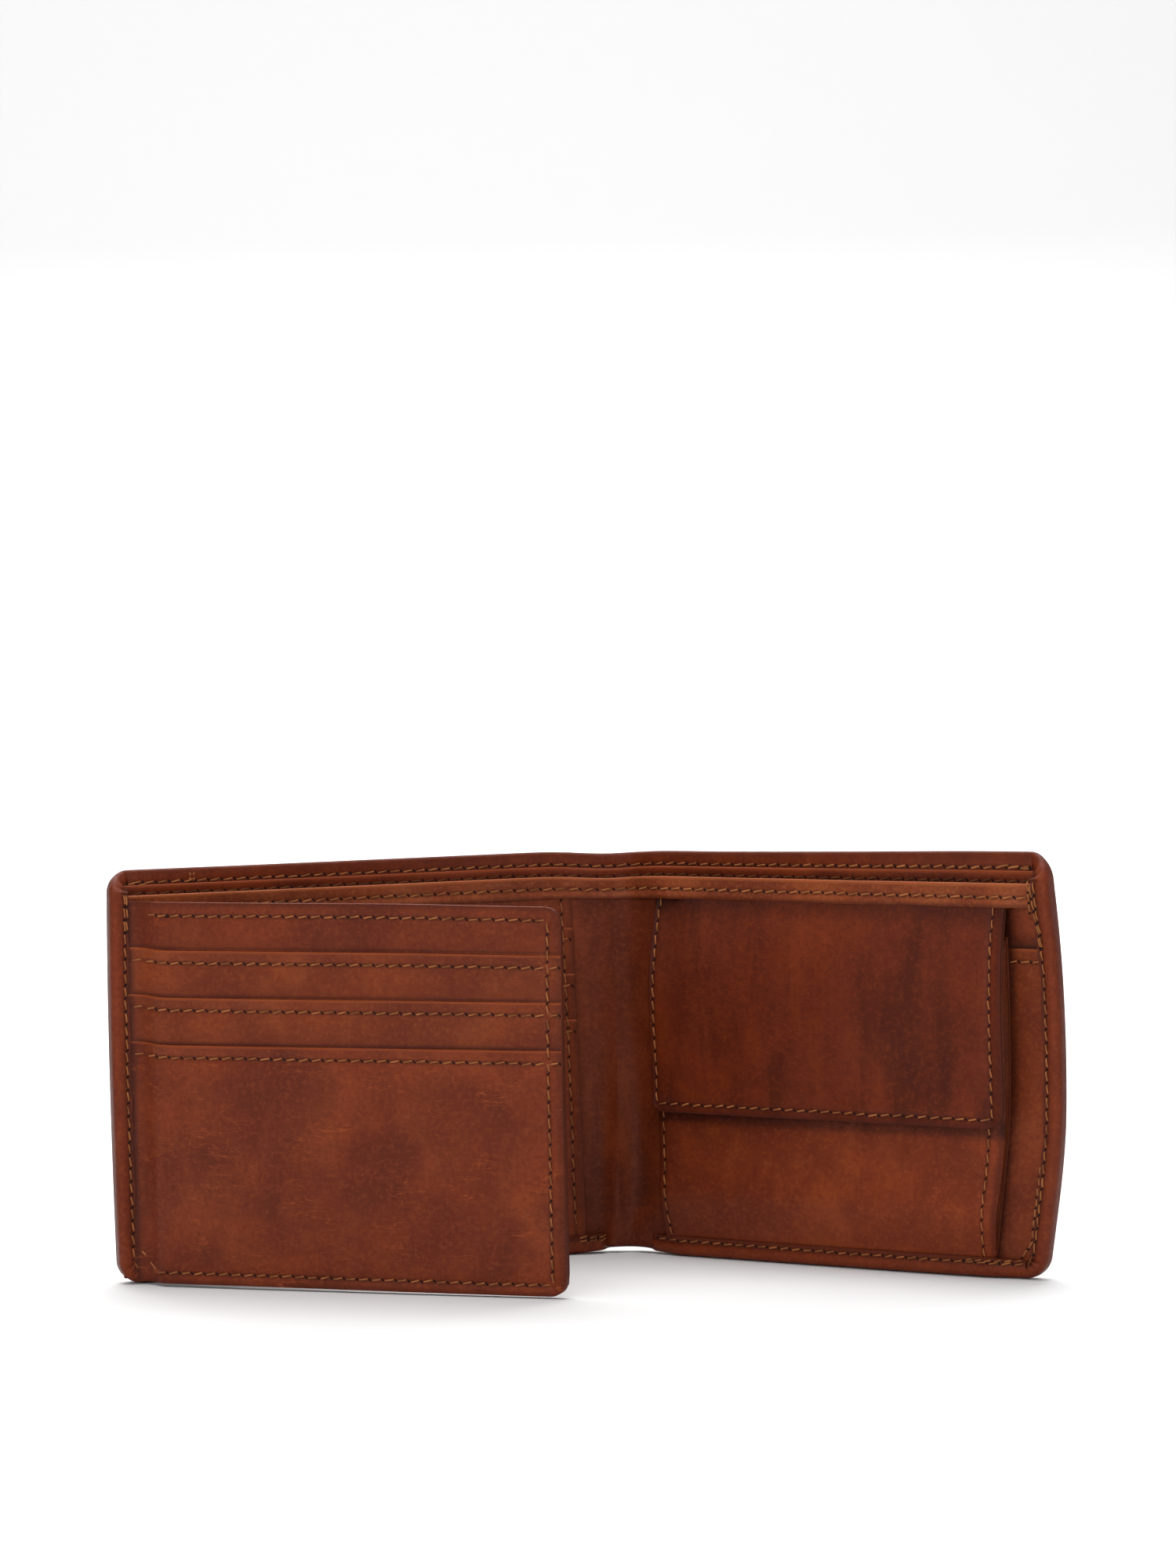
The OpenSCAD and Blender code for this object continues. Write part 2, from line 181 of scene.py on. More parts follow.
HINGE_NEAR, HINGE_FAR = -1.5, 6.0  # where the leaf's leather bends, from its hinge


def place_leaf(k, d, z):
    """Leaf coordinates: k from the hinge to the free edge, d its depth to the front."""
    k, d, z = (np.asarray(x, float) for x in np.broadcast_arrays(k, d, z))
    thin = 0.3 + 0.7 * step(k, -1, 6)
    d = d * thin - 2.3 * (1 - step(k, HINGE_NEAR - 0.5, 6.5))
    z = z + 0.5 * (1 - step(k, -1, 10)) * step(z, 25, 50) * (1 - step(z, 80, 86))
    d = d + 0.5 * np.sin(np.pi * np.clip(k / 103, 0, 1)) * (0.35 + 0.65 * ((z - 44) / 44) ** 2)
    free = step(k, HINGE_NEAR, HINGE_FAR)[..., None]
    z = z - 0.5 * step(k, 60, 103) * step(z, 60, 88) - 0.3 * step(k, 20, 103) * (1 - step(z, 0, 60))
    xy = (1 - free) * PLAN_L.at(PIVOT_S - k, PIVOT_W + d) + free * PLAN_LEAF.at(k, d)
    return np.concatenate([xy, z[..., None]], -1)


# The coin flap's middle line in section, from straight down to under the band
FLAP_W = [PLAN_R.span(n)[i] for n, i in (("flap_lining", 2), ("flap_outer", 3))]
FLAP_MID = sum(FLAP_W) / 2
FLAP_SPAN = PLAN_R.span("flap_outer")[:2]
BEND_LOW = 54.0  # above this height the flap leans back to its root under the band
T = np.linspace(0, 1, 60)[:, None]
KNOTS = [np.array(p) for p in ((FLAP_MID, BEND_LOW), (FLAP_MID, 66.0), (7.3, 78.5), (3.9, 87.0))]
FLAP_CURVE = ((1 - T) ** 3 * KNOTS[0] + 3 * T * (1 - T) ** 2 * KNOTS[1]
              + 3 * T ** 2 * (1 - T) * KNOTS[2] + T ** 3 * KNOTS[3])
FLAP_RUN = np.concatenate([[0], np.cumsum(np.linalg.norm(np.diff(FLAP_CURVE, axis=0), axis=1))])
FLAP_TOP = BEND_LOW + float(FLAP_RUN[-1])
FLAP_CENTRE = (FLAP_SPAN[0] + FLAP_SPAN[1]) / 2


def flap_section(run):
    """(depth, height) of the flap's middle line at a length along its curve."""
    return [np.interp(run, FLAP_RUN, FLAP_CURVE[:, i]) for i in (0, 1)]


def place_flap(s, d, h):
    """Flap coordinates: h up the leather, d its depth from the middle of the flap."""
    s, d, h = (np.asarray(x, float) for x in np.broadcast_arrays(s, d, h))
    run = np.clip(h - BEND_LOW, 0, FLAP_RUN[-1])
    cw, cz = flap_section(run)
    cz = cz + np.minimum(h - BEND_LOW, 0)
    (w_up, z_up), (w_down, z_down) = flap_section(run + 0.2), flap_section(run - 0.2)
    dw = np.where(h < BEND_LOW, 0.0, w_up - w_down)
    dz = np.where(h < BEND_LOW, 1.0, z_up - z_down)
    n = np.hypot(dw, dz) + 1e-9
    half_width = FLAP_SPAN[1] - FLAP_CENTRE
    s = s + np.clip((FLAP_CENTRE - s) / half_width, 0, 1) * (1 - step(h, 30, 84))
    s = s - (0.5 + np.clip((s - FLAP_CENTRE) / half_width, 0, 1)) * step(h, 34, 84)
    cw = cw - 1.3 * (1 - step(s, 18.5, 26)) * step(h, 62, 82)
    return place(s - 0.8 * bow(s, h), cw + d * dz / n, cz - d * dw / n)


def place_pouch(s, w, z):
    """The coin pocket's leather, drawn in a little towards its far side and its foot."""
    far = np.maximum(s - FLAP_CENTRE, 0) / (FLAP_SPAN[1] - FLAP_CENTRE)
    s = s - far * (2.3 + 1.6 * (1 - step(z, 0, 45)))
    return place(s - 0.55 * bow(s, z), w, z)


# ---------------------------------------------------------------- seams and sheets
AWAY = 99.0  # a distance that stands for: not near any edge, seam or tuck


class Seam:
    """A sewn line on a panel, as straight runs from point to point in the panel's (u, z)."""

    def __init__(self, *points, pitch=3.1, depth=0.22):
        self.points, self.pitch, self.depth = points, pitch, depth

    def distance(self, u, z):
        best = np.full(np.shape(u), 1e9)
        for (a, b), (c, d) in zip(self.points, self.points[1:]):
            length = (c - a) ** 2 + (d - b) ** 2
            t = np.clip(((u - a) * (c - a) + (z - b) * (d - b)) / length, 0, 1)
            best = np.minimum(best, np.hypot(u - a - t * (c - a), z - b - t * (d - b)))
        return best


FINE = (-1.9, -1.2, -0.75, -0.35, 0, 0.35, 0.75, 1.2, 1.9)


def lines(a, b, gap, seams, axis, ends=(True, True)):
    """Grid lines from a to b, closer together beside each seam and each finished edge."""
    out = list(np.linspace(a, b, max(2, int(round((b - a) / gap)) + 1)))
    for seam in seams:
        for p, q in zip(seam.points, seam.points[1:]):
            if abs(p[axis] - q[axis]) < 1.0:
                out += [p[axis] + x for x in FINE]
    if ends[0]:
        out += [a + x for x in (0.3, 0.8)]
    if ends[1]:
        out += [b - x for x in (0.3, 0.8)]
    out = sorted(x for x in out if a <= x <= b)
    kept = [a]
    for x in out:
        if x - kept[-1] > 0.24:
            kept.append(x)
    kept[-1] = b
    return np.array(kept)


def round_corner(u, z, cu, cz, su, sz, r):
    """Moves grid points of a square corner on to circles round (cu, cz)."""
    a, b = (u - cu) * su, (z - cz) * sz
    inside = (a > 0) & (b > 0)
    m = np.maximum(a, b)
    n = np.hypot(a, b) + 1e-12
    return (np.where(inside, cu + su * m * a / n, u), np.where(inside, cz + sz * m * b / n, z),
            inside, a / n, b / n)


def mesh_object(name, verts, faces, attributes, material):
    mesh = bpy.data.meshes.new(name)
    mesh.from_pydata((np.asarray(verts) / 1000).tolist(), [], faces)
    for key, values in attributes.items():
        values = np.asarray(values, np.float32)
        kind = "FLOAT_VECTOR" if values.ndim == 2 else "FLOAT"
        layer = mesh.attributes.new(key, kind, "POINT")
        layer.data.foreach_set("vector" if values.ndim == 2 else "value", values.ravel())
    mesh.polygons.foreach_set("use_smooth", np.ones(len(mesh.polygons), bool))
    mesh.update()
    obj = bpy.data.objects.new(name, mesh)
    bpy.context.scene.collection.objects.link(obj)
    obj.data.materials.append(material)
    return obj


def sheet_faces(rows, columns, turned=False):
    """The faces of a grid of points and of a second one behind it, which looks the other way."""
    faces = []
    for i in range(rows - 1):
        for j in range(columns - 1):
            p = i * columns + j
            a, b, c, d = p, p + 1, p + columns + 1, p + columns
            if turned:
                b, d = d, b
            faces.append((a, b, c, d))
            faces.append(tuple(rows * columns + q for q in (a, d, c, b)))
    return faces


def set_normals(obj, face=None, towards=None, sharp=None):
    """Turns an object's faces outwards: face has to look towards a point's offset. Edges sharper
    than sharp, in radians, are left unsmoothed."""
    bm = bmesh.new()
    bm.from_mesh(obj.data)
    bmesh.ops.recalc_face_normals(bm, faces=bm.faces)
    bm.faces.ensure_lookup_table()
    if face is not None and bm.faces[face].normal.dot(Vector(towards)) < 0:
        bmesh.ops.reverse_faces(bm, faces=bm.faces)
    if sharp is not None:
        for e in bm.edges:
            if len(e.link_faces) == 2 and e.calc_face_angle(0) > sharp:
                e.smooth = False
    bm.to_mesh(obj.data)
    bm.free()


SEED = [0]


def panel(name, material, u, z, w, put, radii=(0, 0, 0, 0), gap=1.4, seams=(), shape=None,
          lift=None, closed=(True, True), burnish=(1, 1, 1, 1), tucks=(), cut=None, shade=None):
    """A sheet of leather with rounded rims and corners.

    u, z, w: its extents. put maps (u, w, z) to the open wallet. radii: far-bottom, far-top,
    near-top, near-bottom. shape(u, z): how far the whole sheet stands off; lift(u, z): how far its
    front face alone does. closed: whether the low-u and high-u sides have a rim. burnish: how dark
    the near, far, low and high edges are, a high of -1 being a mouth painted lighter along its rim,
    as rubbed wear and a painted highlight. tucks: lines that another layer covers from above, with
    a painted shadow above each. cut: where its leather was cut from the hide, the same
    for pieces of one sheet. shade(u, z): painted shade, from 0 to 1."""
    u0, u1 = u
    z0, z1 = z
    w0, w1 = w
    t = w1 - w0
    e = min(t / 2, 0.6)
    ui0, ui1 = u0 + (e if closed[0] else 0), u1 - (e if closed[1] else 0)
    zi0, zi1 = z0 + e, z1 - e
    ul = lines(ui0, ui1, gap, seams, 0, closed)
    zl = lines(zi0, zi1, gap, seams, 1)
    U, Z = np.meshgrid(ul, zl, indexing="ij")
    fb, ft, nt, nb = (max(r - e, 0.0) for r in radii)
    nu, nz = U.shape
    NU, NZ = np.zeros_like(U), np.zeros_like(Z)
    NU[0, :], NU[-1, :] = -1, 1
    NZ[:, 0], NZ[:, -1] = -1, 1
    corner = np.hypot(NU, NZ)
    flat_u, flat_z = U.copy(), Z.copy()
    for r, su, sz in ((fb, 1, -1), (ft, 1, 1), (nt, -1, 1), (nb, -1, -1)):
        if r <= 0:
            continue
        cu = (ui1 - r) if su > 0 else (ui0 + r)
        cz = (zi1 - r) if sz > 0 else (zi0 + r)
        U, Z, inside, a, b = round_corner(U, Z, cu, cz, su, sz, r)
        NU, NZ = np.where(inside, su * a, NU), np.where(inside, sz * b, NZ)
    n = np.hypot(NU, NZ) + 1e-12
    NU, NZ = NU / n, NZ / n
    bn, bf, bl, bh = (max(x, 0.02) for x in burnish)
    nowhere = np.full(U.shape, AWAY)
    edge = np.minimum.reduce([
        (flat_u - ui0) / bn if closed[0] else nowhere,
        (ui1 - flat_u) / bf if closed[1] else nowhere,
        (flat_z - zi0) / bl, (zi1 - flat_z) / bh])
    for has_rim, burnt, d in ((closed[0], bn, flat_u - ui0), (closed[1], bf, ui1 - flat_u)):
        if has_rim:
            edge = np.minimum(edge, d + 6 * (1 - min(burnt, 1)))
    edge = np.maximum(edge, -0.2)
    tuck, sew = nowhere, nowhere
    # the distance to each line that a pocket's mouth covers: the leather above it is painted darker, a
    # painted shadow
    for line in tucks:
        above = (Z >= line.points[0][1] - 0.3) | (line.points[0][0] == line.points[1][0])
        tuck = np.minimum(tuck, np.where(above, line.distance(U, Z), AWAY))
    for line in seams:
        sew = np.minimum(sew, line.distance(U, Z))
    # the distance below a mouth's top rim, where the leather is painted lighter: rubbed wear and a painted
    # highlight
    rub_and_highlight = (zi1 - flat_z) if burnish[3] < 0 else nowhere

    def stand(a, b):
        return shape(a, b) if shape else np.zeros(np.shape(a))

    def front(a, b):
        h = lift(a, b) if lift else np.zeros(np.shape(a))
        for line in seams:
            q = line.distance(a, b)
            h = h - line.depth * np.exp(-(q / 0.75) ** 2) - 0.5 * line.depth * np.exp(-(q / 2.2) ** 2)
        return h

    faces = sheet_faces(nu, nz, turned=True)
    verts, tex, edges, sews, tuckeds, rub_and_highlights, shades = [], [], [], [], [], [], []
    SEED[0] += 37.0
    offset = np.array([SEED[0], SEED[0] * 0.63, 0.0]) if cut is None else np.array([cut, cut * 0.4, 0.0])

    def add(uu, zz, ww, ed, se, tu=None, ru=None):
        rub_and_highlights.append(np.ravel(np.full(np.shape(uu), AWAY) if ru is None else ru))
        shades.append(np.ravel(np.clip(shade(uu, zz), 0, 1) if shade else np.zeros(np.shape(uu))))
        tuckeds.append(np.ravel(np.full(np.shape(uu), AWAY) if tu is None else tu))
        verts.append(put(uu, ww, zz).reshape(-1, 3))
        tex.append(np.stack([uu, zz, ww], -1).reshape(-1, 3) + offset)
        edges.append(np.ravel(ed))
        sews.append(np.ravel(se))

    base = stand(U, Z)
    add(U, Z, w1 + base + front(U, Z), edge, sew, tuck, rub_and_highlight)
    add(U, Z, w0 + base, edge, nowhere)
    low = [(i, 0) for i in range(nu)]
    high = [(i, nz - 1) for i in range(nu - 1, -1, -1)]
    far = [(nu - 1, j) for j in range(1, nz - 1)]
    near = [(0, j) for j in range(nz - 2, 0, -1)]
    if closed[0] and closed[1]:
        loops = [(low + far + high + near, True)]
    elif closed[1]:
        loops = [(low + far + high, False)]
    elif closed[0]:
        loops = [(high + near + low, False)]
    else:
        loops = [(low, False), (high, False)]

    count = 2 * nu * nz
    for loop, ring in loops:
        ii = np.array([p[0] for p in loop])
        jj = np.array([p[1] for p in loop])
        pu, pz, du, dz = U[ii, jj], Z[ii, jj], NU[ii, jj].copy(), NZ[ii, jj].copy()
        if not closed[0]:
            fix = ii == 0
            du[fix], dz[fix] = 0, np.sign(dz[fix])
        if not closed[1]:
            fix = ii == nu - 1
            du[fix], dz[fix] = 0, np.sign(dz[fix])
        rings = [ii * nz + jj]
        top = w1 + stand(pu, pz) + front(pu, pz)
        bottom = w0 + stand(pu, pz)
        for phi in (35, 70, 110, 145):
            a = math.radians(phi)
            o = e * math.sin(a)
            mix = (1 - math.cos(a)) / 2
            qu, qz = pu + du * o, pz + dz * o
            worn = (np.where(du > 0, bf, bn) * abs(du) + np.where(dz > 0, bh, bl) * abs(dz)).clip(0, 1)
            add(qu, qz, top * (1 - mix) + bottom * mix, 3.0 - (3.0 + o) * worn, np.full(len(loop), AWAY),
                ru=np.where((dz > 0.5) & (burnish[3] < 0), 0.0, AWAY))
            rings.append(np.arange(count, count + len(loop)))
            count += len(loop)
        rings.append(nu * nz + ii * nz + jj)
        m = len(loop)
        for r0, r1 in zip(rings, rings[1:]):
            for q in range(m if ring else m - 1):
                p = (q + 1) % m
                faces.append((int(r0[p]), int(r0[q]), int(r1[q]), int(r1[p])))
    verts = np.concatenate(verts)
    obj = mesh_object(name, verts, faces, {
        "tex": np.concatenate(tex), "edge": np.concatenate(edges),
        "seam": np.concatenate(sews), "tuck": np.concatenate(tuckeds),
        "rub_and_highlight": np.concatenate(rub_and_highlights), "shade": np.concatenate(shades)}, material)
    # a sheet left open at one side can come out inside out: its front has to face the front
    here, ahead = put(np.full(2, (u0 + u1) / 2), np.array([w1, w1 + 1.0]), np.full(2, (z0 + z1) / 2))
    set_normals(obj, 2 * (((nu - 1) // 2) * (nz - 1) + (nz - 1) // 2), ahead - here)

    def surface(a, b, side=1):
        a, b = np.asarray(a, float), np.asarray(b, float)
        return (w1 + stand(a, b) + front(a, b)) if side > 0 else (w0 + stand(a, b))

    obj_surface[name] = (surface, put)
    return obj


obj_surface = {}


# ---------------------------------------------------------------- stitches
def stitches(name, runs, material, length=2.75, thick=0.205, slant=0.21, seed=1):
    """Rows of lockstitches. runs: (points, pitch, depth(u, z), put, side), one per row, perhaps followed by
    a lit level, below 1 for painted shade.
    """
    rnd = np.random.RandomState(seed)
    verts, faces, hole, dims = [], [], [], []
    sides, rings = 7, 7
    ts = np.linspace(-1, 1, rings)
    count = 0
    for points, pitch, depth, put, side, *dim in runs:
        pts = [np.array(p, float) for p in points]
        total = sum(np.linalg.norm(b - a) for a, b in zip(pts, pts[1:]))
        n = max(1, int(round(total / pitch)))
        real = total / n
        for q in range(n):
            mid = (q + 0.5) * real
            for a, b in zip(pts, pts[1:]):
                d = np.linalg.norm(b - a)
                if mid <= d + 1e-6:
                    break
                mid -= d
            t = (b - a) / d
            nrm = np.array([-t[1], t[0]])
            c = a + t * mid + nrm * rnd.normal(0, 0.05)
            lean = (slant if abs(t[0]) > abs(t[1]) else slant * 0.7) + rnd.normal(0, 0.04)
            t2 = t * math.cos(lean) + nrm * math.sin(lean) * side
            n2 = np.array([-t2[1], t2[0]])
            half = min(length, real * 0.84) / 2 * (1 + rnd.normal(0, 0.04))
            r = thick * (1 + rnd.normal(0, 0.05))
            ang = np.arange(sides) * 2 * math.pi / sides
            uu, zz, dd, hh = [], [], [], []
            for x in ts:
                pos = c + t2 * (x * half)
                rise = 0.17 * (1 - x * x) ** 0.7 - 0.34 * abs(x) ** 5
                rr = r * (1 - 0.35 * abs(x) ** 4)
                for g in ang:
                    uu.append(pos[0] + n2[0] * rr * math.cos(g))
                    zz.append(pos[1] + n2[1] * rr * math.cos(g))
                    dd.append(rise + rr * 0.75 * math.sin(g))
                    hh.append(0.0)
            for i in range(rings - 1):
                for j in range(sides):
                    k = (j + 1) % sides
                    faces.append((count + i * sides + j, count + i * sides + k,
                                  count + (i + 1) * sides + k, count + (i + 1) * sides + j))
            faces.append(tuple(count + j for j in range(sides - 1, -1, -1)))
            faces.append(tuple(count + (rings - 1) * sides + j for j in range(sides)))
            count += rings * sides
            # the needle hole between this stitch and the next, pulled long by both of them
            pos = c + t * (real / 2)
            pull = np.array([-n2[0], -n2[1]]) * side * 0.90 + t * 0.44
            wide = np.array([-pull[1], pull[0]])
            for size, lift in ((1.0, 0.015), (0.55, 0.05)):
                for g in ang:
                    at = pos + pull * (0.46 * size * math.cos(g)) + wide * (0.24 * size * math.sin(g))
                    uu.append(at[0])
                    zz.append(at[1])
                    dd.append(lift)
                    hh.append(1.0)
            for j in range(sides):
                k = (j + 1) % sides
                faces.append((count + j, count + k, count + sides + k, count + sides + j))
            faces.append(tuple(count + sides + j for j in range(sides)))
            count += 2 * sides
            uu, zz, dd = np.array(uu), np.array(zz), np.array(dd)
            verts.append(put(uu, depth(uu, zz) + side * dd, zz))
            hole += hh
            dims += [dim[0] if dim else 1.0] * len(hh)
    verts = np.concatenate(verts)
    tex = verts.copy()
    obj = mesh_object(name, verts, faces,
                      {"tex": tex, "hole": np.array(hole), "lit": np.array(dims)}, material)
    set_normals(obj)
    return obj


def on(name, seam, side=1):
    """The run of a seam as it lies on a panel's front (1) or back (-1)."""
    surface, put = obj_surface[name]
    return (seam.points, seam.pitch, lambda a, b: surface(a, b, side), put, side)


# ---------------------------------------------------------------- materials
class Tree:
    """One material's nodes, with a short call for each kind that is used here."""

    def __init__(self, name):
        self.material = bpy.data.materials.new(name)
        self.material.use_nodes = True
        self.nodes, self.links = self.material.node_tree.nodes, self.material.node_tree.links
        self.nodes.clear()

    def fill(self, socket, value):
        """Links an output to a socket, or sets the socket's own value."""
        if hasattr(value, "is_output"):
            self.links.new(value, socket)
        elif socket.type == "RGBA":
            socket.default_value = (*value, 1.0)
        else:
            socket.default_value = value

    def make(self, kind, **sockets):
        n = self.nodes.new(kind)
        for key, value in sockets.items():
            self.fill(n.inputs[key.replace("_", " ")], value)
        return n

    def maths(self, op, *values):
        n = self.nodes.new("ShaderNodeMath")
        n.operation = op
        for socket, value in zip(n.inputs, values):
            self.fill(socket, value)
        return n.outputs[0]

    def ramp(self, value, low, high, at_low=0.0, at_high=1.0, kind="SMOOTHSTEP"):
        n = self.make("ShaderNodeMapRange", Value=value, From_Min=low, From_Max=high)
        n.interpolation_type = kind
        n.inputs["To Min"].default_value, n.inputs["To Max"].default_value = at_low, at_high
        return n.outputs[0]

    def blend(self, factor, a, b):
        n = self.nodes.new("ShaderNodeMix")
        n.data_type = "RGBA"
        for index, value in ((0, factor), (6, a), (7, b)):
            self.fill(n.inputs[index], value)
        return n.outputs[2]

    def attribute(self, key, output="Fac"):
        n = self.nodes.new("ShaderNodeAttribute")
        n.attribute_name = key
        return n.outputs[output]

    def noise(self, vector, scale, detail=3.0, roughness=0.5, distortion=0.0):
        return self.make("ShaderNodeTexNoise", Vector=vector, Scale=scale, Detail=detail,
                         Roughness=roughness, Distortion=distortion).outputs["Fac"]

    def finish(self, height=None, strength=1.0, distance=0.001, **sockets):
        """The shader, with a bump where a height is given."""
        shader = self.make("ShaderNodeBsdfPrincipled", **sockets)
        if height is not None:
            bump = self.make("ShaderNodeBump", Strength=strength, Distance=distance, Height=height)
            self.links.new(bump.outputs[0], shader.inputs["Normal"])
        self.make("ShaderNodeOutputMaterial", Surface=shader.outputs[0])
        return self.material


def tone(colour, factor):
    return tuple(factor * x for x in colour)


def leather(name, mid, dark, light, rough=0.47, mottle=1.0, crease=0.0, stripe=0.0, worn=1.0,
            shine=0.03, cloud=0.0):
    """Full-grain leather: mottled dye, darkened edges and seams, pores, fine creases, painted shadow at
    tucks and from the shade attribute, and a mouth's rim painted lighter, as rubbed wear and a painted
    highlight.
    """
    t = Tree(name)
    ramp, blend, maths = t.ramp, t.blend, t.maths
    at = t.attribute("tex", "Vector")
    edge, seam, tuck, rub_and_highlight, shade = (t.attribute(k) for k in ("edge", "seam", "tuck", "rub_and_highlight", "shade"))

    def noise(scale, detail=3.0, roughness=0.55, distortion=0.0, squash=(1.0, 1.0)):
        vector = t.make("ShaderNodeMapping", Vector=at, Scale=(*squash, 1.0)).outputs[0]
        return t.noise(vector, scale, detail, roughness, distortion)

    def thin_lines(value, width):
        """1 along the places where a noise crosses its middle, 0 elsewhere."""
        return ramp(maths("ABSOLUTE", maths("SUBTRACT", value, 0.5)), width, 0.0)

    # the dye, from large clouds to fine specks
    patch = noise(0.085, 4.0, 0.5, 0.6, squash=(1.0, 0.6))
    fine = noise(0.9, 5.0, 0.65, 0.3)
    c = blend(ramp(noise(0.045, 2.5, 0.5, 0.8), 0.30, 0.70, cloud, 1.0), dark, mid)
    c = blend(ramp(patch, 0.44, 0.85, 0.0, 0.65 * mottle), c, light)
    c = blend(ramp(patch, 0.50, 0.20, 0.0, 0.60 * mottle), c, dark)
    if stripe:
        strip = noise(0.11, 3.0, 0.55, 0.5, squash=(1.0, 0.16))
        c = blend(ramp(strip, 0.52, 0.30, 0.0, stripe), c, tone(dark, 0.55))
        c = blend(ramp(strip, 0.52, 0.75, 0.0, stripe * 0.7), c, light)
    c = blend(ramp(fine, 0.46, 0.72, 0.0, 0.42), c, light)
    c = blend(ramp(fine, 0.50, 0.28, 0.0, 0.55), c, dark)
    hair = maths("MULTIPLY", thin_lines(noise(0.9, 4.0, 0.6, 1.4, squash=(0.34, 1.0)), 0.028),
                 ramp(noise(0.10, 2.0), 0.45, 0.68))
    c = blend(maths("MULTIPLY", hair, 0.28), c, tone(light, 1.4))
    # darker along edges and needle lines, painted shadow above each tuck, and a mouth's rim painted
    # lighter, as rubbed wear and a painted highlight
    near = maths("ADD", edge, maths("MULTIPLY_ADD", noise(0.35), 2.2, -1.1))
    c = blend(ramp(near, 2.6, -0.2, 0.0, 0.62 * worn), c, tone(dark, 0.6))
    c = blend(ramp(edge, 0.15, -0.35, 0.0, 0.50 * worn), c, tone(dark, 0.42))
    c = blend(ramp(seam, 0.9, 0.15, 0.0, 0.45), c, tone(dark, 0.5))
    c = blend(ramp(tuck, 4.5, 0.2, 0.0, 0.30), c, dark)
    c = blend(ramp(tuck, 1.2, 0.1, 0.0, 0.70), c, tone(dark, 0.40))
    c = blend(ramp(maths("ADD", rub_and_highlight, maths("MULTIPLY_ADD", fine, 1.2, -0.6)), 0.50, 0.0, 0.0, 0.45), c,
              tone(light, 1.3))
    # painted shade: the shade attribute darkens the dye where shadow falls
    c = blend(maths("MULTIPLY", shade, ramp(fine, 0.75, 0.35, 0.72, 0.98)), c, tone(dark, 0.30))
    cells = t.make("ShaderNodeTexVoronoi", Vector=at, Scale=1.35)
    cells.feature = "DISTANCE_TO_EDGE"
    height = maths("ADD", maths("MULTIPLY", ramp(cells.outputs["Distance"], 0.0, 0.22), 0.030),
                   maths("MULTIPLY", noise(3.2, 4.0, 0.7), 0.045))
    height = maths("ADD", height, maths("MULTIPLY", noise(0.42, 3.0, 0.5), 0.16))
    if crease:
        wrinkle = maths("MULTIPLY", thin_lines(noise(0.42, 3.0, 0.55, 0.5, squash=(0.16, 1.0)), 0.016),
                        ramp(noise(0.09, 2.0), 0.46, 0.66))
        c = blend(maths("MULTIPLY", wrinkle, 0.60 * crease), c, tone(light, 1.3))
        height = maths("ADD", height, maths("MULTIPLY", wrinkle, -0.09 * crease))
    roughness = maths("ADD", ramp(patch, 0.25, 0.75, rough + 0.07, rough - 0.06),
                      ramp(fine, 0.3, 0.7, 0.05, -0.05))
    return t.finish(height, 0.75, 0.001, Base_Color=c, Roughness=roughness, Coat_Weight=shine,
                    Coat_Roughness=0.34, Specular_IOR_Level=0.13)


def thread_material(name, colour, dark):
    """Waxed thread; the attribute hole marks the needle holes, and lit below 1 paints shade on a stitch."""
    t = Tree(name)
    at = t.attribute("tex", "Vector")
    worn = t.ramp(t.noise(at, 0.35, 4.0), 0.35, 0.70, kind="LINEAR")
    c = t.blend(worn, colour, tone(colour, 0.38))
    c = t.blend(t.attribute("hole"), c, dark)
    c = t.blend(t.attribute("lit"), dark, c)
    ply = t.make("ShaderNodeTexWave", Vector=at, Scale=1.6, Distortion=0.4).outputs["Fac"]
    return t.finish(ply, 0.5, 0.0002, Base_Color=c, Roughness=0.7, Specular_IOR_Level=0.12)


def object_material(name, colour, rough, metal, scale, contrast):
    """For pieces that are hardly seen: board and brass, with a speckle and a light bump."""
    t = Tree(name)
    speck = t.noise(t.nodes.new("ShaderNodeTexCoord").outputs["Object"], scale, 5.0)
    c = t.blend(speck, tone(colour, 1 - contrast), colour)
    return t.finish(speck, 0.3, 0.0001, Base_Color=c, Roughness=rough, Metallic=metal)


MID, DARK, LIGHT = (0.172, 0.0270, 0.0064), (0.100, 0.0145, 0.0042), (0.245, 0.048, 0.0108)
M_COVER = leather("leather_cover", MID, DARK, LIGHT, mottle=0.5, cloud=0.5)
M_PANEL = leather("leather_panel", MID, DARK, LIGHT, mottle=0.8)
M_LIGHT = leather("leather_light", (0.185, 0.0320, 0.0072), (0.115, 0.0175, 0.0050), (0.260, 0.056, 0.0130),
                  mottle=0.8)
M_LEAF = leather("leather_leaf", MID, DARK, LIGHT, crease=1.0, mottle=0.8)
# the flap's leather: a darker copy of the leather, painted shade for the flap's side that takes less light
M_FLAP = leather("leather_flap", (0.125, 0.0178, 0.0042), (0.075, 0.0098, 0.0029), (0.190, 0.032, 0.0068),
                 stripe=0.65, mottle=0.8, cloud=0.25)
M_BAND = leather("leather_band", (0.225, 0.046, 0.0125), (0.140, 0.025, 0.0078),
                 (0.33, 0.090, 0.028), worn=0.8)
M_SPINE = leather("leather_inner_wall", (0.165, 0.0270, 0.0068), (0.090, 0.0135, 0.0040),
                  (0.235, 0.046, 0.0110), stripe=0.4)
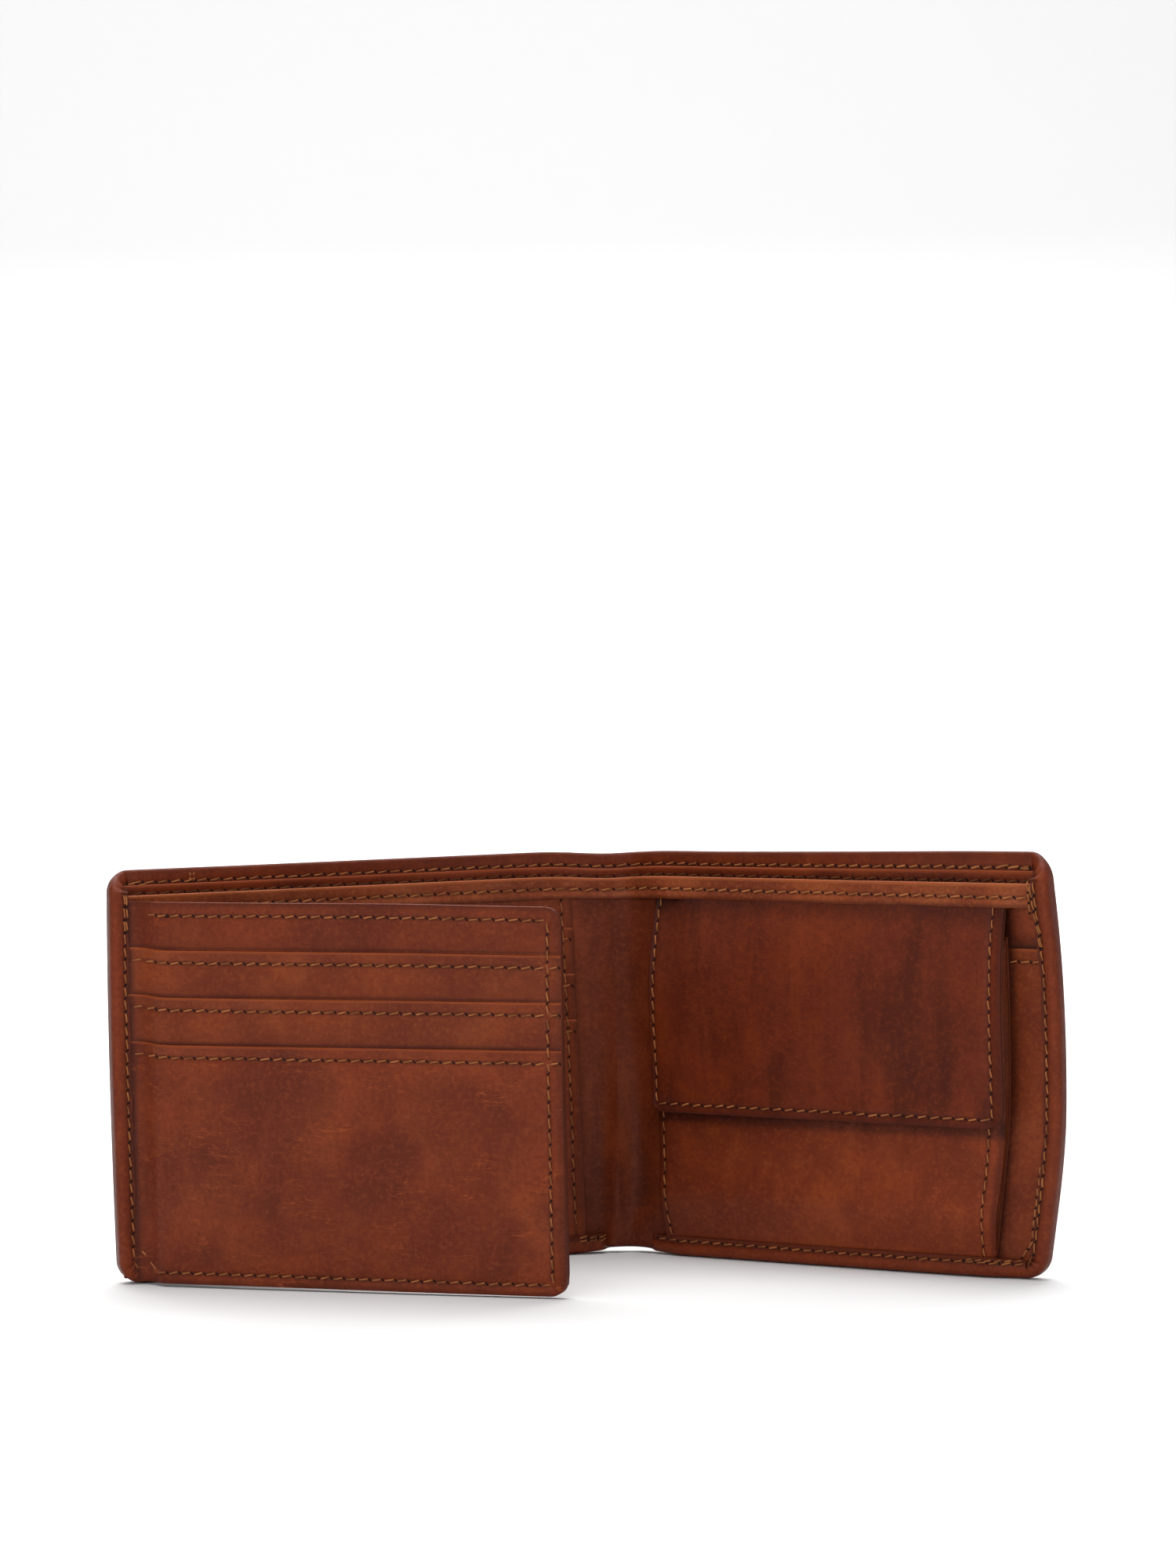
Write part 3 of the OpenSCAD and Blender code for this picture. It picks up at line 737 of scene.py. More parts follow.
# a lighter copy of the leather: painted light on the pouch's front, whose near side pouch_shade paints
# darker
M_POUCH = leather("leather_pouch", (0.205, 0.0325, 0.0068), (0.125, 0.0180, 0.0048), (0.285, 0.056, 0.0115),
                  mottle=0.8)
M_LINING = leather("leather_lining", (0.13, 0.034, 0.012), (0.08, 0.020, 0.008), (0.19, 0.055, 0.020),
                   rough=0.7, shine=0.0, worn=0.4)
M_GUSSET = leather("leather_gusset", (0.13, 0.028, 0.009), (0.07, 0.014, 0.005), (0.20, 0.045, 0.014),
                   rough=0.5, shine=0.05)
M_THREAD = thread_material("thread", (0.42, 0.148, 0.049), (0.020, 0.0055, 0.0025))
M_BOARD = object_material("bonded_board", (0.42, 0.34, 0.24), 0.85, 0.0, 900.0, 0.35)
M_BRASS = object_material("snap_brass", (0.70, 0.50, 0.24), 0.32, 1.0, 1400.0, 0.15)

for node, obj in frame["nodes"].items():
    if node.startswith("snap"):
        obj.data.materials.clear()
        obj.data.materials.append(M_BRASS)

# ---------------------------------------------------------------- the folded cover
EDGE = 5.0  # the band along each edge that the fold takes up, and the corners' radius
# the fold's parts from the middle outwards and back: to the seam, to the bend, round the bend, up
# the side, round again, back to the seam, on to the cut edge
FOLD = ([("a", t) for t in (0.5, 0.8, 1)] + [("b", t) for t in (0.22, 0.5, 1)]
        + [("c", t) for t in (0.25, 0.5, 0.75, 1)] + [("d", t) for t in (0.34, 0.67, 1)]
        + [("e", t) for t in (0.25, 0.5, 0.75, 1)] + [("f", t) for t in (0.4, 0.65, 0.85, 1)]
        + [("g", t) for t in (0.25, 0.55, 1)])


def fold_at(k, thick, radius, lip, sew, inner, skin):
    """(o, w, run, crown, groove, end) of fold line k: how far out, how deep and how far along the
    leather it lies, and its way from the fold's crown, the nearer seam and the cut edge."""
    part = np.array([" "] + [f[0] for f in FOLD])[k]
    t = np.array([0.0] + [f[1] for f in FOLD])[k]
    r = np.maximum(radius - skin, 0.02) if inner else radius
    zero = np.zeros_like(t)
    at_sew, at_bend = EDGE - sew, EDGE - radius
    flat, side, arc = at_bend - at_sew, thick - 2 * radius, radius * math.pi / 2
    over = at_bend + 2 * arc + side  # from here the turned edge lies flat again
    a = t * math.pi / 2
    w_low = skin + zero if inner else zero
    top = thick - (skin if inner else 0)
    parts = [part == letter for letter in " abcdefg"]
    o = np.select(parts, [zero, at_sew * t, at_sew + flat * t, at_bend + r * np.sin(a), at_bend + r,
                          at_bend + r * np.cos(a), at_bend - flat * t, at_sew - (lip - sew) * t])
    w = np.select(parts, [w_low, w_low, w_low, radius - r * np.cos(a), radius + side * t,
                          thick - radius + r * np.sin(a), top, top])
    run = np.select(parts, [zero, at_sew * t, at_sew + flat * t, at_bend + arc * t,
                            at_bend + arc + side * t, at_bend + arc + side + arc * t,
                            over + flat * t, over + flat + (lip - sew) * t])
    crown = at_bend + arc + side / 2
    groove = np.minimum(abs(run - at_sew), abs(run - (2 * crown - at_sew)))
    end = over + flat + (lip - sew)
    return o, w, run, abs(run - crown), groove, end - run


LIP_L = PLAN_L.span("turned_side_left")[3]
LIP_R = PLAN_R.span("turned_side_right")[3]
HEM = PLAN_L.span("turned_hem_left")[3]
SEW = 3.3
HEM_SEW = 3.0


def side_thickness(s, z):
    full = np.where(s < 0, LIP_L, LIP_R + 0.95 * step(z, 78, 83))
    return full - (full - 3.0) * step(z, 89, 93)


def bottom_thickness(s):
    full = np.where(s < 4, LIP_L, LIP_R + 1.3 * step(s, 13, 22) * (1 - step(s, 103, 111)))
    return 1.9 + (full - 1.9) * np.where(s < 4, step(-s, -1.6, 0.6), step(s, 9.5, 13.5))


def bottom_lip(s):
    wide = np.where(s < 4, step(-s, -1.6, 0.2), step(s, 9.0, 12.5))
    return 2.2 + 1.9 * wide + 0.5 * step(s, 13, 22) * (1 - step(s, 103, 111))


def cover_piece(name, s0, s1, low, high, material, cut=11.0):
    """One length of the cover, with its edges folded in: low and high say which ends have a fold."""
    K = len(FOLD)
    core = lines(s0 + (EDGE if low else 0), s1 - (EDGE if high else 0), 2.0 if s1 - s0 > 20 else 1.0,
                 (), 0, (False, False))
    creased = [x for x in np.arange(-14, 14.5, 0.7) if core[0] < x < core[-1]]
    core = np.unique(np.round(np.concatenate([core, creased]), 2))
    keep = np.concatenate([[True], np.diff(core) > 0.3])
    keep[-2:] = core[-1] - core[-2] > 0.3, True
    core = core[keep]
    a_fold = np.concatenate([np.arange(K, 0, -1) if low else [], np.zeros(len(core)),
                             np.arange(1, K + 1) if high else []]).astype(int)
    a_side = np.concatenate([-np.ones(K) if low else [], np.zeros(len(core)), np.ones(K) if high else []])
    a_at = np.concatenate([np.full(K, core[0]) if low else [], core, np.full(K, core[-1]) if high else []])
    rows = lines(EDGE, HIGH - EDGE, 2.0, (), 1, (False, False))
    b_fold = np.concatenate([np.arange(K, 0, -1), np.zeros(len(rows)), np.arange(1, K + 1)]).astype(int)
    b_side = np.concatenate([-np.ones(K), np.zeros(len(rows)), np.ones(K)])
    b_at = np.concatenate([np.full(K, rows[0]), rows, np.full(K, rows[-1])])
    QA, QB = np.meshgrid(a_fold, b_fold, indexing="ij")
    SA, SB = np.meshgrid(a_side, b_side, indexing="ij")
    A, B = np.meshgrid(a_at, b_at, indexing="ij")
    m = np.maximum(QA, QB)
    angle = np.arctan2(QB, QA + 1e-9)
    ca, cb = np.where(m > 0, np.cos(angle), 0), np.where(m > 0, np.sin(angle), 0)
    upright = smooth(angle / (math.pi / 2))  # 0 along the sides, 1 along the bottom and the top
    upright = np.where(QB == 0, 0, np.where(QA == 0, 1, upright))
    t_side = side_thickness(A, B)
    t_tb = np.where(SB > 0, HEM, bottom_thickness(A))
    thick = t_side * (1 - upright) + t_tb * upright
    radius = np.minimum(1.5, thick / 2)
    far = np.full(A.shape, AWAY)
    inside = step(np.minimum(A - (s0 + EDGE) if low else far, (s1 - EDGE) - A if high else far), 0, 5)
    lip_tb = np.where(SB > 0, 4.0 + 4.0 * inside, bottom_lip(A))
    lip_side = 4.1 + 0.15 * np.sin(B * 0.35) + 0.1 * np.sin(B * 0.9 + 1)
    lip = lip_side * (1 - upright) + lip_tb * upright
    sew = np.minimum(np.where(SB > 0, SEW + (HEM_SEW - SEW) * upright, SEW), lip - 0.3)
    both = (QA > 0) & (QB > 0)
    lip = np.where(both, np.minimum(lip, 4.3), lip)
    NA, NB = A.shape
    verts, tex, edges, sews = [], [], [], []
    for inner in (False, True):
        skin = np.where(m == 0, 1.0, 0.75)
        o, w, run, crown, groove, end = fold_at(m, thick, radius, lip, sew, inner, skin)
        pleat = np.where(both, 0.34 * np.sin(angle * 11 + 0.6), 0) * step(m, K - 9, K - 3)
        s = A + SA * o * ca
        z = B + SB * o * cb
        w = w + pleat * (0 if inner else 1)
        if not inner:
            dent = 0.22 * np.exp(-(groove / 0.75) ** 2)
            flat_in = m > 13
            w = np.where(m > 0, w - np.where(flat_in, dent, -dent), w)
        verts.append(place(s, w, z).reshape(-1, 3))
        hide = np.stack([A + SA * run * ca, B + SB * run * cb, w], -1).reshape(-1, 3)
        tex.append(hide + [cut, cut * 0.4, 0])
        e = np.where(m > 0, np.minimum(crown * 0.75 - 0.25, end * 0.9 - 0.15), 9.0)
        edges.append(np.ravel(e))
        sews.append(np.ravel(np.where(m > 0, groove, AWAY)))
    n = NA * NB
    faces = sheet_faces(NA, NB)
    bottom, top = ([i * NB + j for i in range(NA)] for j in (0, NB - 1))
    left, right = ([i * NB + j for j in range(NB)] for i in (0, NA - 1))
    for path in [bottom, top] + ([left] if low else []) + ([right] if high else []):
        for p, q in zip(path, path[1:]):
            faces.append((p, q, n + q, n + p))
    obj = mesh_object(name, np.concatenate(verts), faces, {
        "tex": np.concatenate(tex), "edge": np.concatenate(edges), "seam": np.concatenate(sews),
        "tuck": np.full(2 * n, AWAY), "rub_and_highlight": np.full(2 * n, AWAY)}, material)
    out, skin_at = place(np.full(2, (s0 + s1) / 2), np.array([-1.0, 0.0]), np.full(2, HIGH / 2))
    set_normals(obj, 2 * ((NA // 2) * (NB - 1) + NB // 2), out - skin_at, sharp=1.0)
    return obj


def point(s, w, z):
    return tuple(float(x) / 1000 for x in place(np.array([s]), np.array([w]), np.array([z]))[0])


def across(obj, where):
    """A piece of a layer that runs across the spine, by one crease: its transform is baked into its mesh.
    """
    a, b, s0, s1 = {"left": ("left_half", "spine_a", -STRIP - ZONE, -ZONE),
                    "spine": ("spine_a", "spine_b", -ZONE, ZONE),
                    "right": ("spine_b", "right_half", ZONE, STRIP + ZONE)}[where]
    point(s0, CREASE_W, 47)
    point(s1, CREASE_W, 47)
    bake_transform(obj)


SPLITS = {"left": (-HALF, -ZONE), "spine": (-ZONE, ZONE), "right": (ZONE, HALF)}
COVER_NODES = {"left": ("cover_left", "turned_side_left", "turned_bottom_left", "turned_hem_left"),
               "spine": ("cover_spine_a", "cover_spine_b"),
               "right": ("cover_right", "turned_side_right", "turned_bottom_right", "turned_hem_right")}
for where, (s0, s1) in SPLITS.items():
    o = cover_piece("leather_cover_" + where, s0, s1, where == "left", where == "right", M_COVER)
    across(o, where)
    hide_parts(*COVER_NODES[where])


# ---------------------------------------------------------------- layers across the spine
def layer(stem, node, slot, material, inset, z0, z1, w_pair, seam_z=None, shape=None, lift=None, gap=1.8,
          cut=31.0, burnish=(0, 0, 0, -1), tucks=(), shade=None, corners=(4.2, 0, 0, 4.2)):
    """A sheet from edge to edge of the open wallet, in three pieces; node: its CAD names' stem."""
    made = {}
    seams = (Seam((-HALF, seam_z), (HALF, seam_z)),) if seam_z else ()
    for where, (s0, s1) in SPLITS.items():
        if where == "left":
            s0 += inset
        if where == "right":
            s1 -= inset
        o = panel("%s_%s" % (stem, where), material, (s0, s1), (z0, z1), w_pair,
                  place, gap=1.0 if where == "spine" else gap, seams=seams,
                  shape=shape, lift=lift, closed=(where == "left", where == "right"), burnish=burnish,
                  tucks=tucks, cut=cut, shade=shade,
                  radii=tuple(r if where == side else 0 for r, side in zip(
                      corners, ("right", "right", "left", "left"))))
        across(o, where)
        ends = ("spine_a", "spine_b") if where == "spine" else (where,)
        names = ["%s_%s" % (node, end) for end in ends]
        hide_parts(*names)
        made[where] = o
    return made


def depth_of(node, plan=PLAN_L):
    a = plan.span(node)
    return a[2], a[3]


LIN_W, DIV_W, WALL_W = depth_of("note_lining_left"), depth_of("divider_left"), depth_of("inner_wall_left")
INSET = HALF - PLAN_L.span("divider_left")[1]
DIV_Z, WALL_Z = PLAN_L.span("divider_left")[5], PLAN_L.span("inner_wall_left")[5]
LOW_Z = PLAN_L.span("divider_left")[4]
DIV_SEW = DIV_Z - 2.0
SLIP_START = 19.0  # its edge beside the spine
SLIP_RISE = 1.8  # the slip pocket's mouth stands this much over its CAD height
SLIP_TOP = PLAN_R.span("slip_pocket_right")[5] + SLIP_RISE
SLIP_SEW = SLIP_TOP - 3.0


def beside_pouch(s, z):
    """Painted shade: the dark line in the gap beside the pouch, with a faint fade beyond it."""
    edge = PLAN_R.span("coin_front")[1] - 2.6 - 1.5 * (1 - step(z, 0, 45)) - 0.45 * bow(s, z)
    return 0.95 * (1 - step(s, edge + 0.2, edge + 1.9)) + 0.15 * (1 - step(s, edge + 2, edge + 5))


def spine_fold(s, z):
    """The puckers that the spine's leather has kept: a ridge, and a hollow over a small cone."""
    low = 1 - step(z, 20, 55)
    ridge = 1.5 * np.exp(-((s - 2.5 - 0.05 * z) / 1.9) ** 2) * low
    cone = 1.3 * np.exp(-((s - 10.0) / 2.4) ** 2) * (1 - step(z, 4, 11))
    hollow = -1.1 * np.exp(-((s - 9.5) / 2.7) ** 2) * step(z, 8, 14) * (1 - step(z, 30, 62))
    return ridge + cone + hollow


def spine_shade(s, z):
    """Painted shade: darker beside the flap and the card panels' edge, under the band, in the hollow and
    the fold, and on the right above the slip pocket and beside the pouch.
    """
    flap_side = 0.42 * step(s, 11, 19) + 0.20 * np.exp(-((s + 12.0) / 2.0) ** 2)
    hollow = 0.62 * np.exp(-((s - 8.5 - 0.04 * z) / 3.4) ** 2) * step(z, 6, 13) * (1 - step(z, 16, 46))
    fold = 0.45 * np.exp(-((s + 1.2) / 1.6) ** 2) * (1 - step(z, 10, 50))
    under_band = 0.30 * step(z, 78, 84) * step(s, -12, 0)
    slip_end = 0.8 * (1 - step(z, SLIP_TOP, SLIP_TOP + 4)) + beside_pouch(s, z)
    return np.where(s > 60, slip_end, flap_side + hollow + fold + under_band)


layer("lining", "note_lining", "lining", M_LINING, 1.6, 1.2, PLAN_L.span("note_lining_left")[5], LIN_W,
      gap=1.6, cut=53.0, corners=(4.5, 0, 0, 4.5),
      shape=lambda s, z: np.minimum(spine_fold(s, z), 0) * 0.4)
layer("divider", "divider", "leather", M_PANEL, INSET, LOW_Z, DIV_Z, DIV_W, seam_z=DIV_SEW,
      shape=lambda s, z: (0.25 * step(z, 80, 92) * np.sin(s * 0.045 + 0.5)
                          + np.minimum(spine_fold(s, z), 0) * 0.8), cut=71.0)
# the inner wall carries a painted shadow above the slip pocket's mouth and painted shade from spine_shade
layer("inner_wall", "inner_wall", "leather", M_SPINE, INSET, LOW_Z - 0.3, WALL_Z, WALL_W,
      shape=spine_fold, gap=2.0, cut=97.0, tucks=(Seam((SLIP_START, SLIP_TOP), (HALF, SLIP_TOP)),),
      shade=spine_shade)

# the band sewn over the inner wall's top, which rides up over the flap's root on the right
BAND_Z = (PLAN_L.span("band_left")[4], PLAN_L.span("band_left")[5] + 0.3)
BAND_SEW = BAND_Z[1] - 2.9
BAND_L, BAND_S = depth_of("band_left"), depth_of("band_spine_a", PLAN_A)
BAND_R = depth_of("band_right", PLAN_R)


def band_shape(s, z):
    out = (BAND_L[0] - BAND_S[0]) * step(-s, 7, 11) + (BAND_R[0] - BAND_S[0]) * step(s, 7, 12)
    over = 1.25 * step(s, 13, 19) * (1 - step(s, 106, 111))
    return out + over * (1 - 0.75 * step(z, BAND_Z[0] + 1, BAND_Z[1])) + 0.12 * np.sin(s * 0.21)


# the band's lowest 1.2 mm carry painted shade
layer("band", "band", "leather_band", M_BAND, 2.2, BAND_Z[0], BAND_Z[1], BAND_S,
      seam_z=BAND_SEW, shape=band_shape, gap=1.5, corners=(0, 0, 0, 0), cut=113.0,
      shade=lambda s, z: 0.35 * (1 - step(z, BAND_Z[0], BAND_Z[0] + 1.2)), burnish=(0, 0, 0.3, -1))


# ---------------------------------------------------------------- panels of one half
def half_panel(name, node, body, material, slot, plan, u_more=(0, 0), z_more=(0, 0), put=None, **more):
    """A sheet with its CAD node's extents, perhaps longer by u_more and z_more."""
    a = plan.span(node)
    u = (-a[1], -a[0]) if plan is PLAN_L else (a[0], a[1])
    put = put or (place_leaf if plan is PLAN_LEAF else place)
    o = panel(name, material, (u[0] + u_more[0], u[1] + u_more[1]), (a[4] + z_more[0], a[5] + z_more[1]),
              (a[2], a[3]), put, **more)
    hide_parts(node)
    if body:
        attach(o, body)
    return o


half_panel("board_left", "stiffener_left", "left_half", M_BOARD, "board", PLAN_L, gap=3,
           radii=(1, 1, 5, 5))
half_panel("board_right", "stiffener_right", "right_half", M_BOARD, "board", PLAN_R, gap=3,
           radii=(5, 5, 1, 1))

card = PLAN_L.span("card_backing_left")
CARD_MORE = 4.6  # the card panel's own edge lies over the crease, on leather that bends with it
CARD_S = (-card[1], -card[0] + CARD_MORE)


def place_card(s, w, z):
    """The card panels' own edge leans back from the spine towards its top."""
    return place(s - 2.0 * (z / HIGH) * step(s, CARD_S[1] - 14, CARD_S[1]), w, z)


CARD_TOPS = [PLAN_L.span("card_pocket_left_%d" % n)[5] for n in (1, 2, 3)]
SLOT_SEW = 2.9
card_side = Seam((CARD_S[1] - 2.6, 2.0), (CARD_S[1] - 2.6, card[5]))
card_rows = [Seam((CARD_S[0], z - SLOT_SEW), (CARD_S[1] - 2.6, z - SLOT_SEW)) for z in CARD_TOPS]
for n in range(4):
    # the backing, then the three pockets, each tucked under the next one's mouth, with a painted shadow
    # above that mouth's line
    tucks = [Seam((CARD_S[0], z), (CARD_S[1], z)) for z in CARD_TOPS[n:n + 1]]
    o = half_panel("card_pocket_%d" % n if n else "card_backing",
                   "card_pocket_left_%d" % n if n else "card_backing_left", None, M_LIGHT, "leather",
                   PLAN_L, u_more=(0, CARD_MORE), put=place_card, tucks=tucks,
                   radii=(0, 0, 0, 4.2 if n in (0, 3) else 0),
                   seams=[card_side] + (card_rows[n - 1:n] if n else []),
                   burnish=(0, 0.8, 0, -1 if n else 0.3))
    across(o, "left")

# ---------------------------------------------------------------- the leaf
LEAF = ["leaf_back", "leaf_board", "leaf_top_panel", "leaf_pocket_1", "leaf_pocket_2", "leaf_pocket_3"]
_, lk1, _, _, lz0, lz1 = PLAN_LEAF.span("leaf_top_panel")
LEAF_TOPS = [PLAN_LEAF.span("leaf_pocket_%d" % n)[5] for n in (1, 2, 3)]
free_line = lk1 - 3.4
leaf_seams = {
    "top": Seam((5.5, lz1 - 3.1), (free_line, lz1 - 3.1)),
    "free": Seam((free_line, lz0 + 2.5), (free_line, lz1 - 3.1)),
    "low": Seam((3.6, lz0 + 2.5), (free_line, lz0 + 2.5)),
    "low_turn": Seam((-0.3, lz0 + 7.5), (3.6, lz0 + 2.5)),
}
slot_seams = [Seam((-0.9, z - SLOT_SEW), (lk1 - 0.6, z - SLOT_SEW)) for z in LEAF_TOPS]
ROOT = -2.2
root_line = Seam((-0.6, lz0), (-0.6, lz1))


def leaf_blend(o):
    a, b = place_leaf(np.array([HINGE_NEAR - 1.0, HINGE_FAR + 1.0]), 0.0, 44.0) / 1000
    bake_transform(o)


LEAF_WAVE = waves(21, 0.35, (46, 27, 15))


def leaf_form(k, z):
    """The leather of the front settles between the seams, and the mouths stand off a little."""
    inside = step(k, 3, 16) * (1 - step(k, 88, 99))
    return 0.18 * LEAF_WAVE(k, z) * inside


def mouth_form(top):
    """The leaf's form, with the mouth at height top standing off a little more."""
    def form(k, z):
        inside = step(k, 2, 8) * (1 - step(k, free_line - 6, free_line))
        mouth = np.exp(-((top - z) / 1.6) ** 2) * (1 + 0.4 * np.sin(k * 0.11 + top))
        return leaf_form(k, z) + 0.35 * inside * mouth
    return form


for node in LEAF:
    a = PLAN_LEAF.span(node)
    number = int(node[-1]) if node[-1].isdigit() else 0
    if node == "leaf_board":
        # the board stops short of the seams
        o = half_panel("leaf_core", node, "leaf", M_BOARD, "board", PLAN_LEAF, gap=3, shape=leaf_form,
                       u_more=(0, min(0, free_line - 0.9 - a[1])), radii=(3, 3, 1, 1),
                       z_more=(max(0, lz0 + 3.4 - a[4]), min(0, lz1 - 4.0 - a[5])))
        continue
    # tucks paint a shadow above the next pocket's mouth and a dark line of painted shade along the leaf's
    # root
    if number:
        tops = LEAF_TOPS[number - 1]
        tucks = [Seam((ROOT, LEAF_TOPS[number]), (lk1, LEAF_TOPS[number]))] if number < 3 else []
        tucks.append(root_line)
        seams = [leaf_seams["free"], slot_seams[number - 1]]
        if number == 3:
            seams += [leaf_seams["low"], leaf_seams["low_turn"]]
        radii = (4.0 if a[4] < 2 else 0, 0, 0, 0)
        form, burnish = mouth_form(tops), (0, 1, 0.5 if number == 3 else 0, -1)
    else:
        front = node == "leaf_top_panel"
        tucks = [Seam((ROOT, LEAF_TOPS[0]), (lk1, LEAF_TOPS[0])), root_line] if front else []
        seams = [leaf_seams["top"], leaf_seams["free"]] if front else []
        radii = (4.0, 4.0, 0, 0)
        form, burnish = leaf_form, (0, 1, 0.6, 0.6)
    o = half_panel(node.replace("leaf_", "leaf_leather_"), node, None, M_LEAF if number == 3 else (
        M_LIGHT if number else M_PANEL), "leather", PLAN_LEAF, u_more=(ROOT - a[0], 0), seams=seams,
        radii=radii, shape=form, tucks=tucks, burnish=burnish, gap=1.3 if node != "leaf_back" else 2.5)
    leaf_blend(o)

# ---------------------------------------------------------------- right half: pockets and pouch
# the slip pocket gets painted shade beside the pouch, and its mouth is painted lighter
half_panel("slip_pocket", "slip_pocket_right", "right_half", M_LIGHT, "leather", PLAN_R,
           u_more=(SLIP_START - PLAN_R.span("slip_pocket_right")[0], 0), z_more=(0, SLIP_RISE),
           seams=[Seam((STRIP, SLIP_SEW), (HALF, SLIP_SEW))], burnish=(0, 0, 0, -1),
           radii=(4.2, 0, 0, 0), shade=beside_pouch)
half_panel("pouch_back", "coin_back", "right_half", M_LIGHT, "leather_gusset", PLAN_R, put=place_pouch,
           gap=3)
pf = PLAN_R.span("coin_front")
POUCH_TOP = pf[5] - 1.0
pouch_seams = [Seam((pf[0] + 1.7, 4.0), (pf[0] + 1.7, POUCH_TOP - 1)),
               Seam((pf[1] - 3.3, 4.0), (pf[1] - 3.3, POUCH_TOP - 1))]
POUCH_WAVE = waves(5, 0.5, (40, 22))


def pouch_form(s, z):
    """The front leans in to the bottom seam, under the flap, and rolls back at its outer edge."""
    under_flap = np.interp(z, FLAP_CURVE[:, 1], FLAP_CURVE[:, 0]) - (FLAP_W[1] - FLAP_W[0]) / 2 - 0.25
    lean = -4.1 * (1 - smooth(z / 17.0)) - np.clip(pf[3] - under_flap, 0, 9)
    roll = np.clip((s - (pf[1] - 3.4)) / 3.4, 0, 0.995), np.clip(((pf[0] + 1.8) - s) / 1.8, 0, 0.995)
    deep = np.clip(z / 17.0, 0.15, 1) * np.clip(1.45 - z / 90, 0, 1)
    far, near = (1 - np.sqrt(1 - x ** 2) for x in roll)
    lean = lean - 3.1 * deep * far - 1.5 * deep * near
    lean = lean - 0.7 * step(z, 12, 24) * (1 - step(z, 36, 44))
    across = np.sin(np.pi * np.clip((s - pf[0]) / (pf[1] - pf[0]), 0, 1))
    belly = 0.5 * across * step(z, 8, 30) * (1 - step(z, 40, 70))
    more = belly * 0.6 + 0.22 * POUCH_WAVE(s, z) * step(z, 6, 16) * (1 - step(z, 24, 34))
    return (lean + more) * off_snap(s, z)


def pouch_shade(s, z):
    """Painted shade: a shadow line under the flap's edge, darker where the far edge rolls back, and darker
    towards the near side.
    """
    flap_shadow = 0.80 * step(z, 30.6, 33.2) * (1 - step(z, 34.0, 37.5))
    return flap_shadow + 0.35 * step(s, pf[1] - 1.5, pf[1]) + 0.24 * (1 - step(s, pf[0], 75))


o = panel("pouch_front", M_POUCH, (pf[0], pf[1]), (2.0, POUCH_TOP), (pf[2], pf[3]), place_pouch,
          seams=pouch_seams, shape=pouch_form, radii=(2.5, 2.0, 2.0, 2.5),
          burnish=(0.5, 0.6, 0.3, 0.5), gap=1.3, shade=pouch_shade)
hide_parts("coin_front")
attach(o, "right_half")


def gusset(name, s0, s1, z0, top, w0, wf, inset=0.35, radius=4.0, skin=0.7):
    """The strip of leather round the pouch: down one side, along the bottom, up the other."""
    left, right = s0 + inset, s1 - inset
    turns = [(math.cos(a), math.sin(a)) for a in np.linspace(-math.pi / 2, 0, 8)]
    corner = [(right - radius + radius * x, z0 + radius + radius * y, x, y) for x, y in turns]
    path = [(s, z0, 0, -1) for s in np.linspace((left + right) / 2, right - radius, 22)[:-1]] + corner + [
        (right, z, 1, 0) for z in np.linspace(z0 + radius, top, 36)[1:]]
    mirrored = [(left + right - s, z, -n, q) for s, z, n, q in reversed(path)]
    path = np.array(mirrored[:-1] + path)
    v = np.linspace(0, 1, 9)
    P, V = np.meshgrid(np.arange(len(path)), v, indexing="ij")
    s, z, ns, nz_ = (path[:, i][P] for i in range(4))
    edge_w = wf(s, z)
    W = w0 + (edge_w - w0) * V
    puff = 0.75 * np.sin(np.pi * V) * step(edge_w - w0, 1, 3.5)
    verts, tex = [], []
    for back in (0, 1):
        o_ = puff - back * skin
        verts.append(place_pouch(s + ns * o_, W, z + nz_ * o_).reshape(-1, 3))
        tex.append(np.stack([P * 1.9 + 300, W * 1.0, np.full(P.shape, 3.0 * back)], -1).reshape(-1, 3))
    n, m = P.size, len(v)
    faces = sheet_faces(len(path), m)
    ring = [(i * m) for i in range(len(path))] + [(len(path) - 1) * m + j for j in range(1, m)] + [
        i * m + m - 1 for i in range(len(path) - 2, -1, -1)] + [j for j in range(m - 2, 0, -1)]
    for p, q in zip(ring, ring[1:] + ring[:1]):
        faces.append((p, q, n + q, n + p))
    far = np.full(2 * n, AWAY)
    edge_attr = np.concatenate([np.ravel(np.minimum(V, 1 - V) * 4.0)] * 2)
    o = mesh_object(name, np.concatenate(verts), faces, {"tex": np.concatenate(tex), "edge": edge_attr,
                                                         "seam": far, "tuck": far, "rub_and_highlight": far}, M_GUSSET)
    set_normals(o, sharp=0.9)
    return o


o = gusset("pouch_gusset", pf[0], pf[1], 2.6, POUCH_TOP - 0.6, PLAN_R.span("coin_back")[3],
           lambda s, z: pf[2] + 0.15 + pouch_form(s, z))
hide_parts("coin_gusset_left", "coin_gusset_right", "coin_gusset_bottom")
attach(o, "right_half")

# ---------------------------------------------------------------- the flap
fs0, fs1, _, _, fz0, _ = PLAN_R.span("flap_outer")
flap_seams = {
    "low": Seam((fs0 + 1.3, fz0 + 2.0), (fs1 - 3.0, fz0 + 2.0)),
    "near": Seam((fs0 + 1.3, fz0 + 2.0), (fs0 + 1.3, FLAP_TOP - 2.5)),
    "far": Seam((fs1 - 3.0, fz0 + 2.0), (fs1 - 3.0, FLAP_TOP - 2.5)),
}
FLAP_WAVE = waves(9, 0.5, (38, 21))


def flap_form(s, h):
    inside = step(h, fz0 + 1, fz0 + 10) * (1 - step(h, FLAP_TOP - 20, FLAP_TOP - 8))
    return (0.3 * FLAP_WAVE(s, h) * inside + 0.5 * (1 - step(h, fz0, fz0 + 9))) * off_snap(s, h)


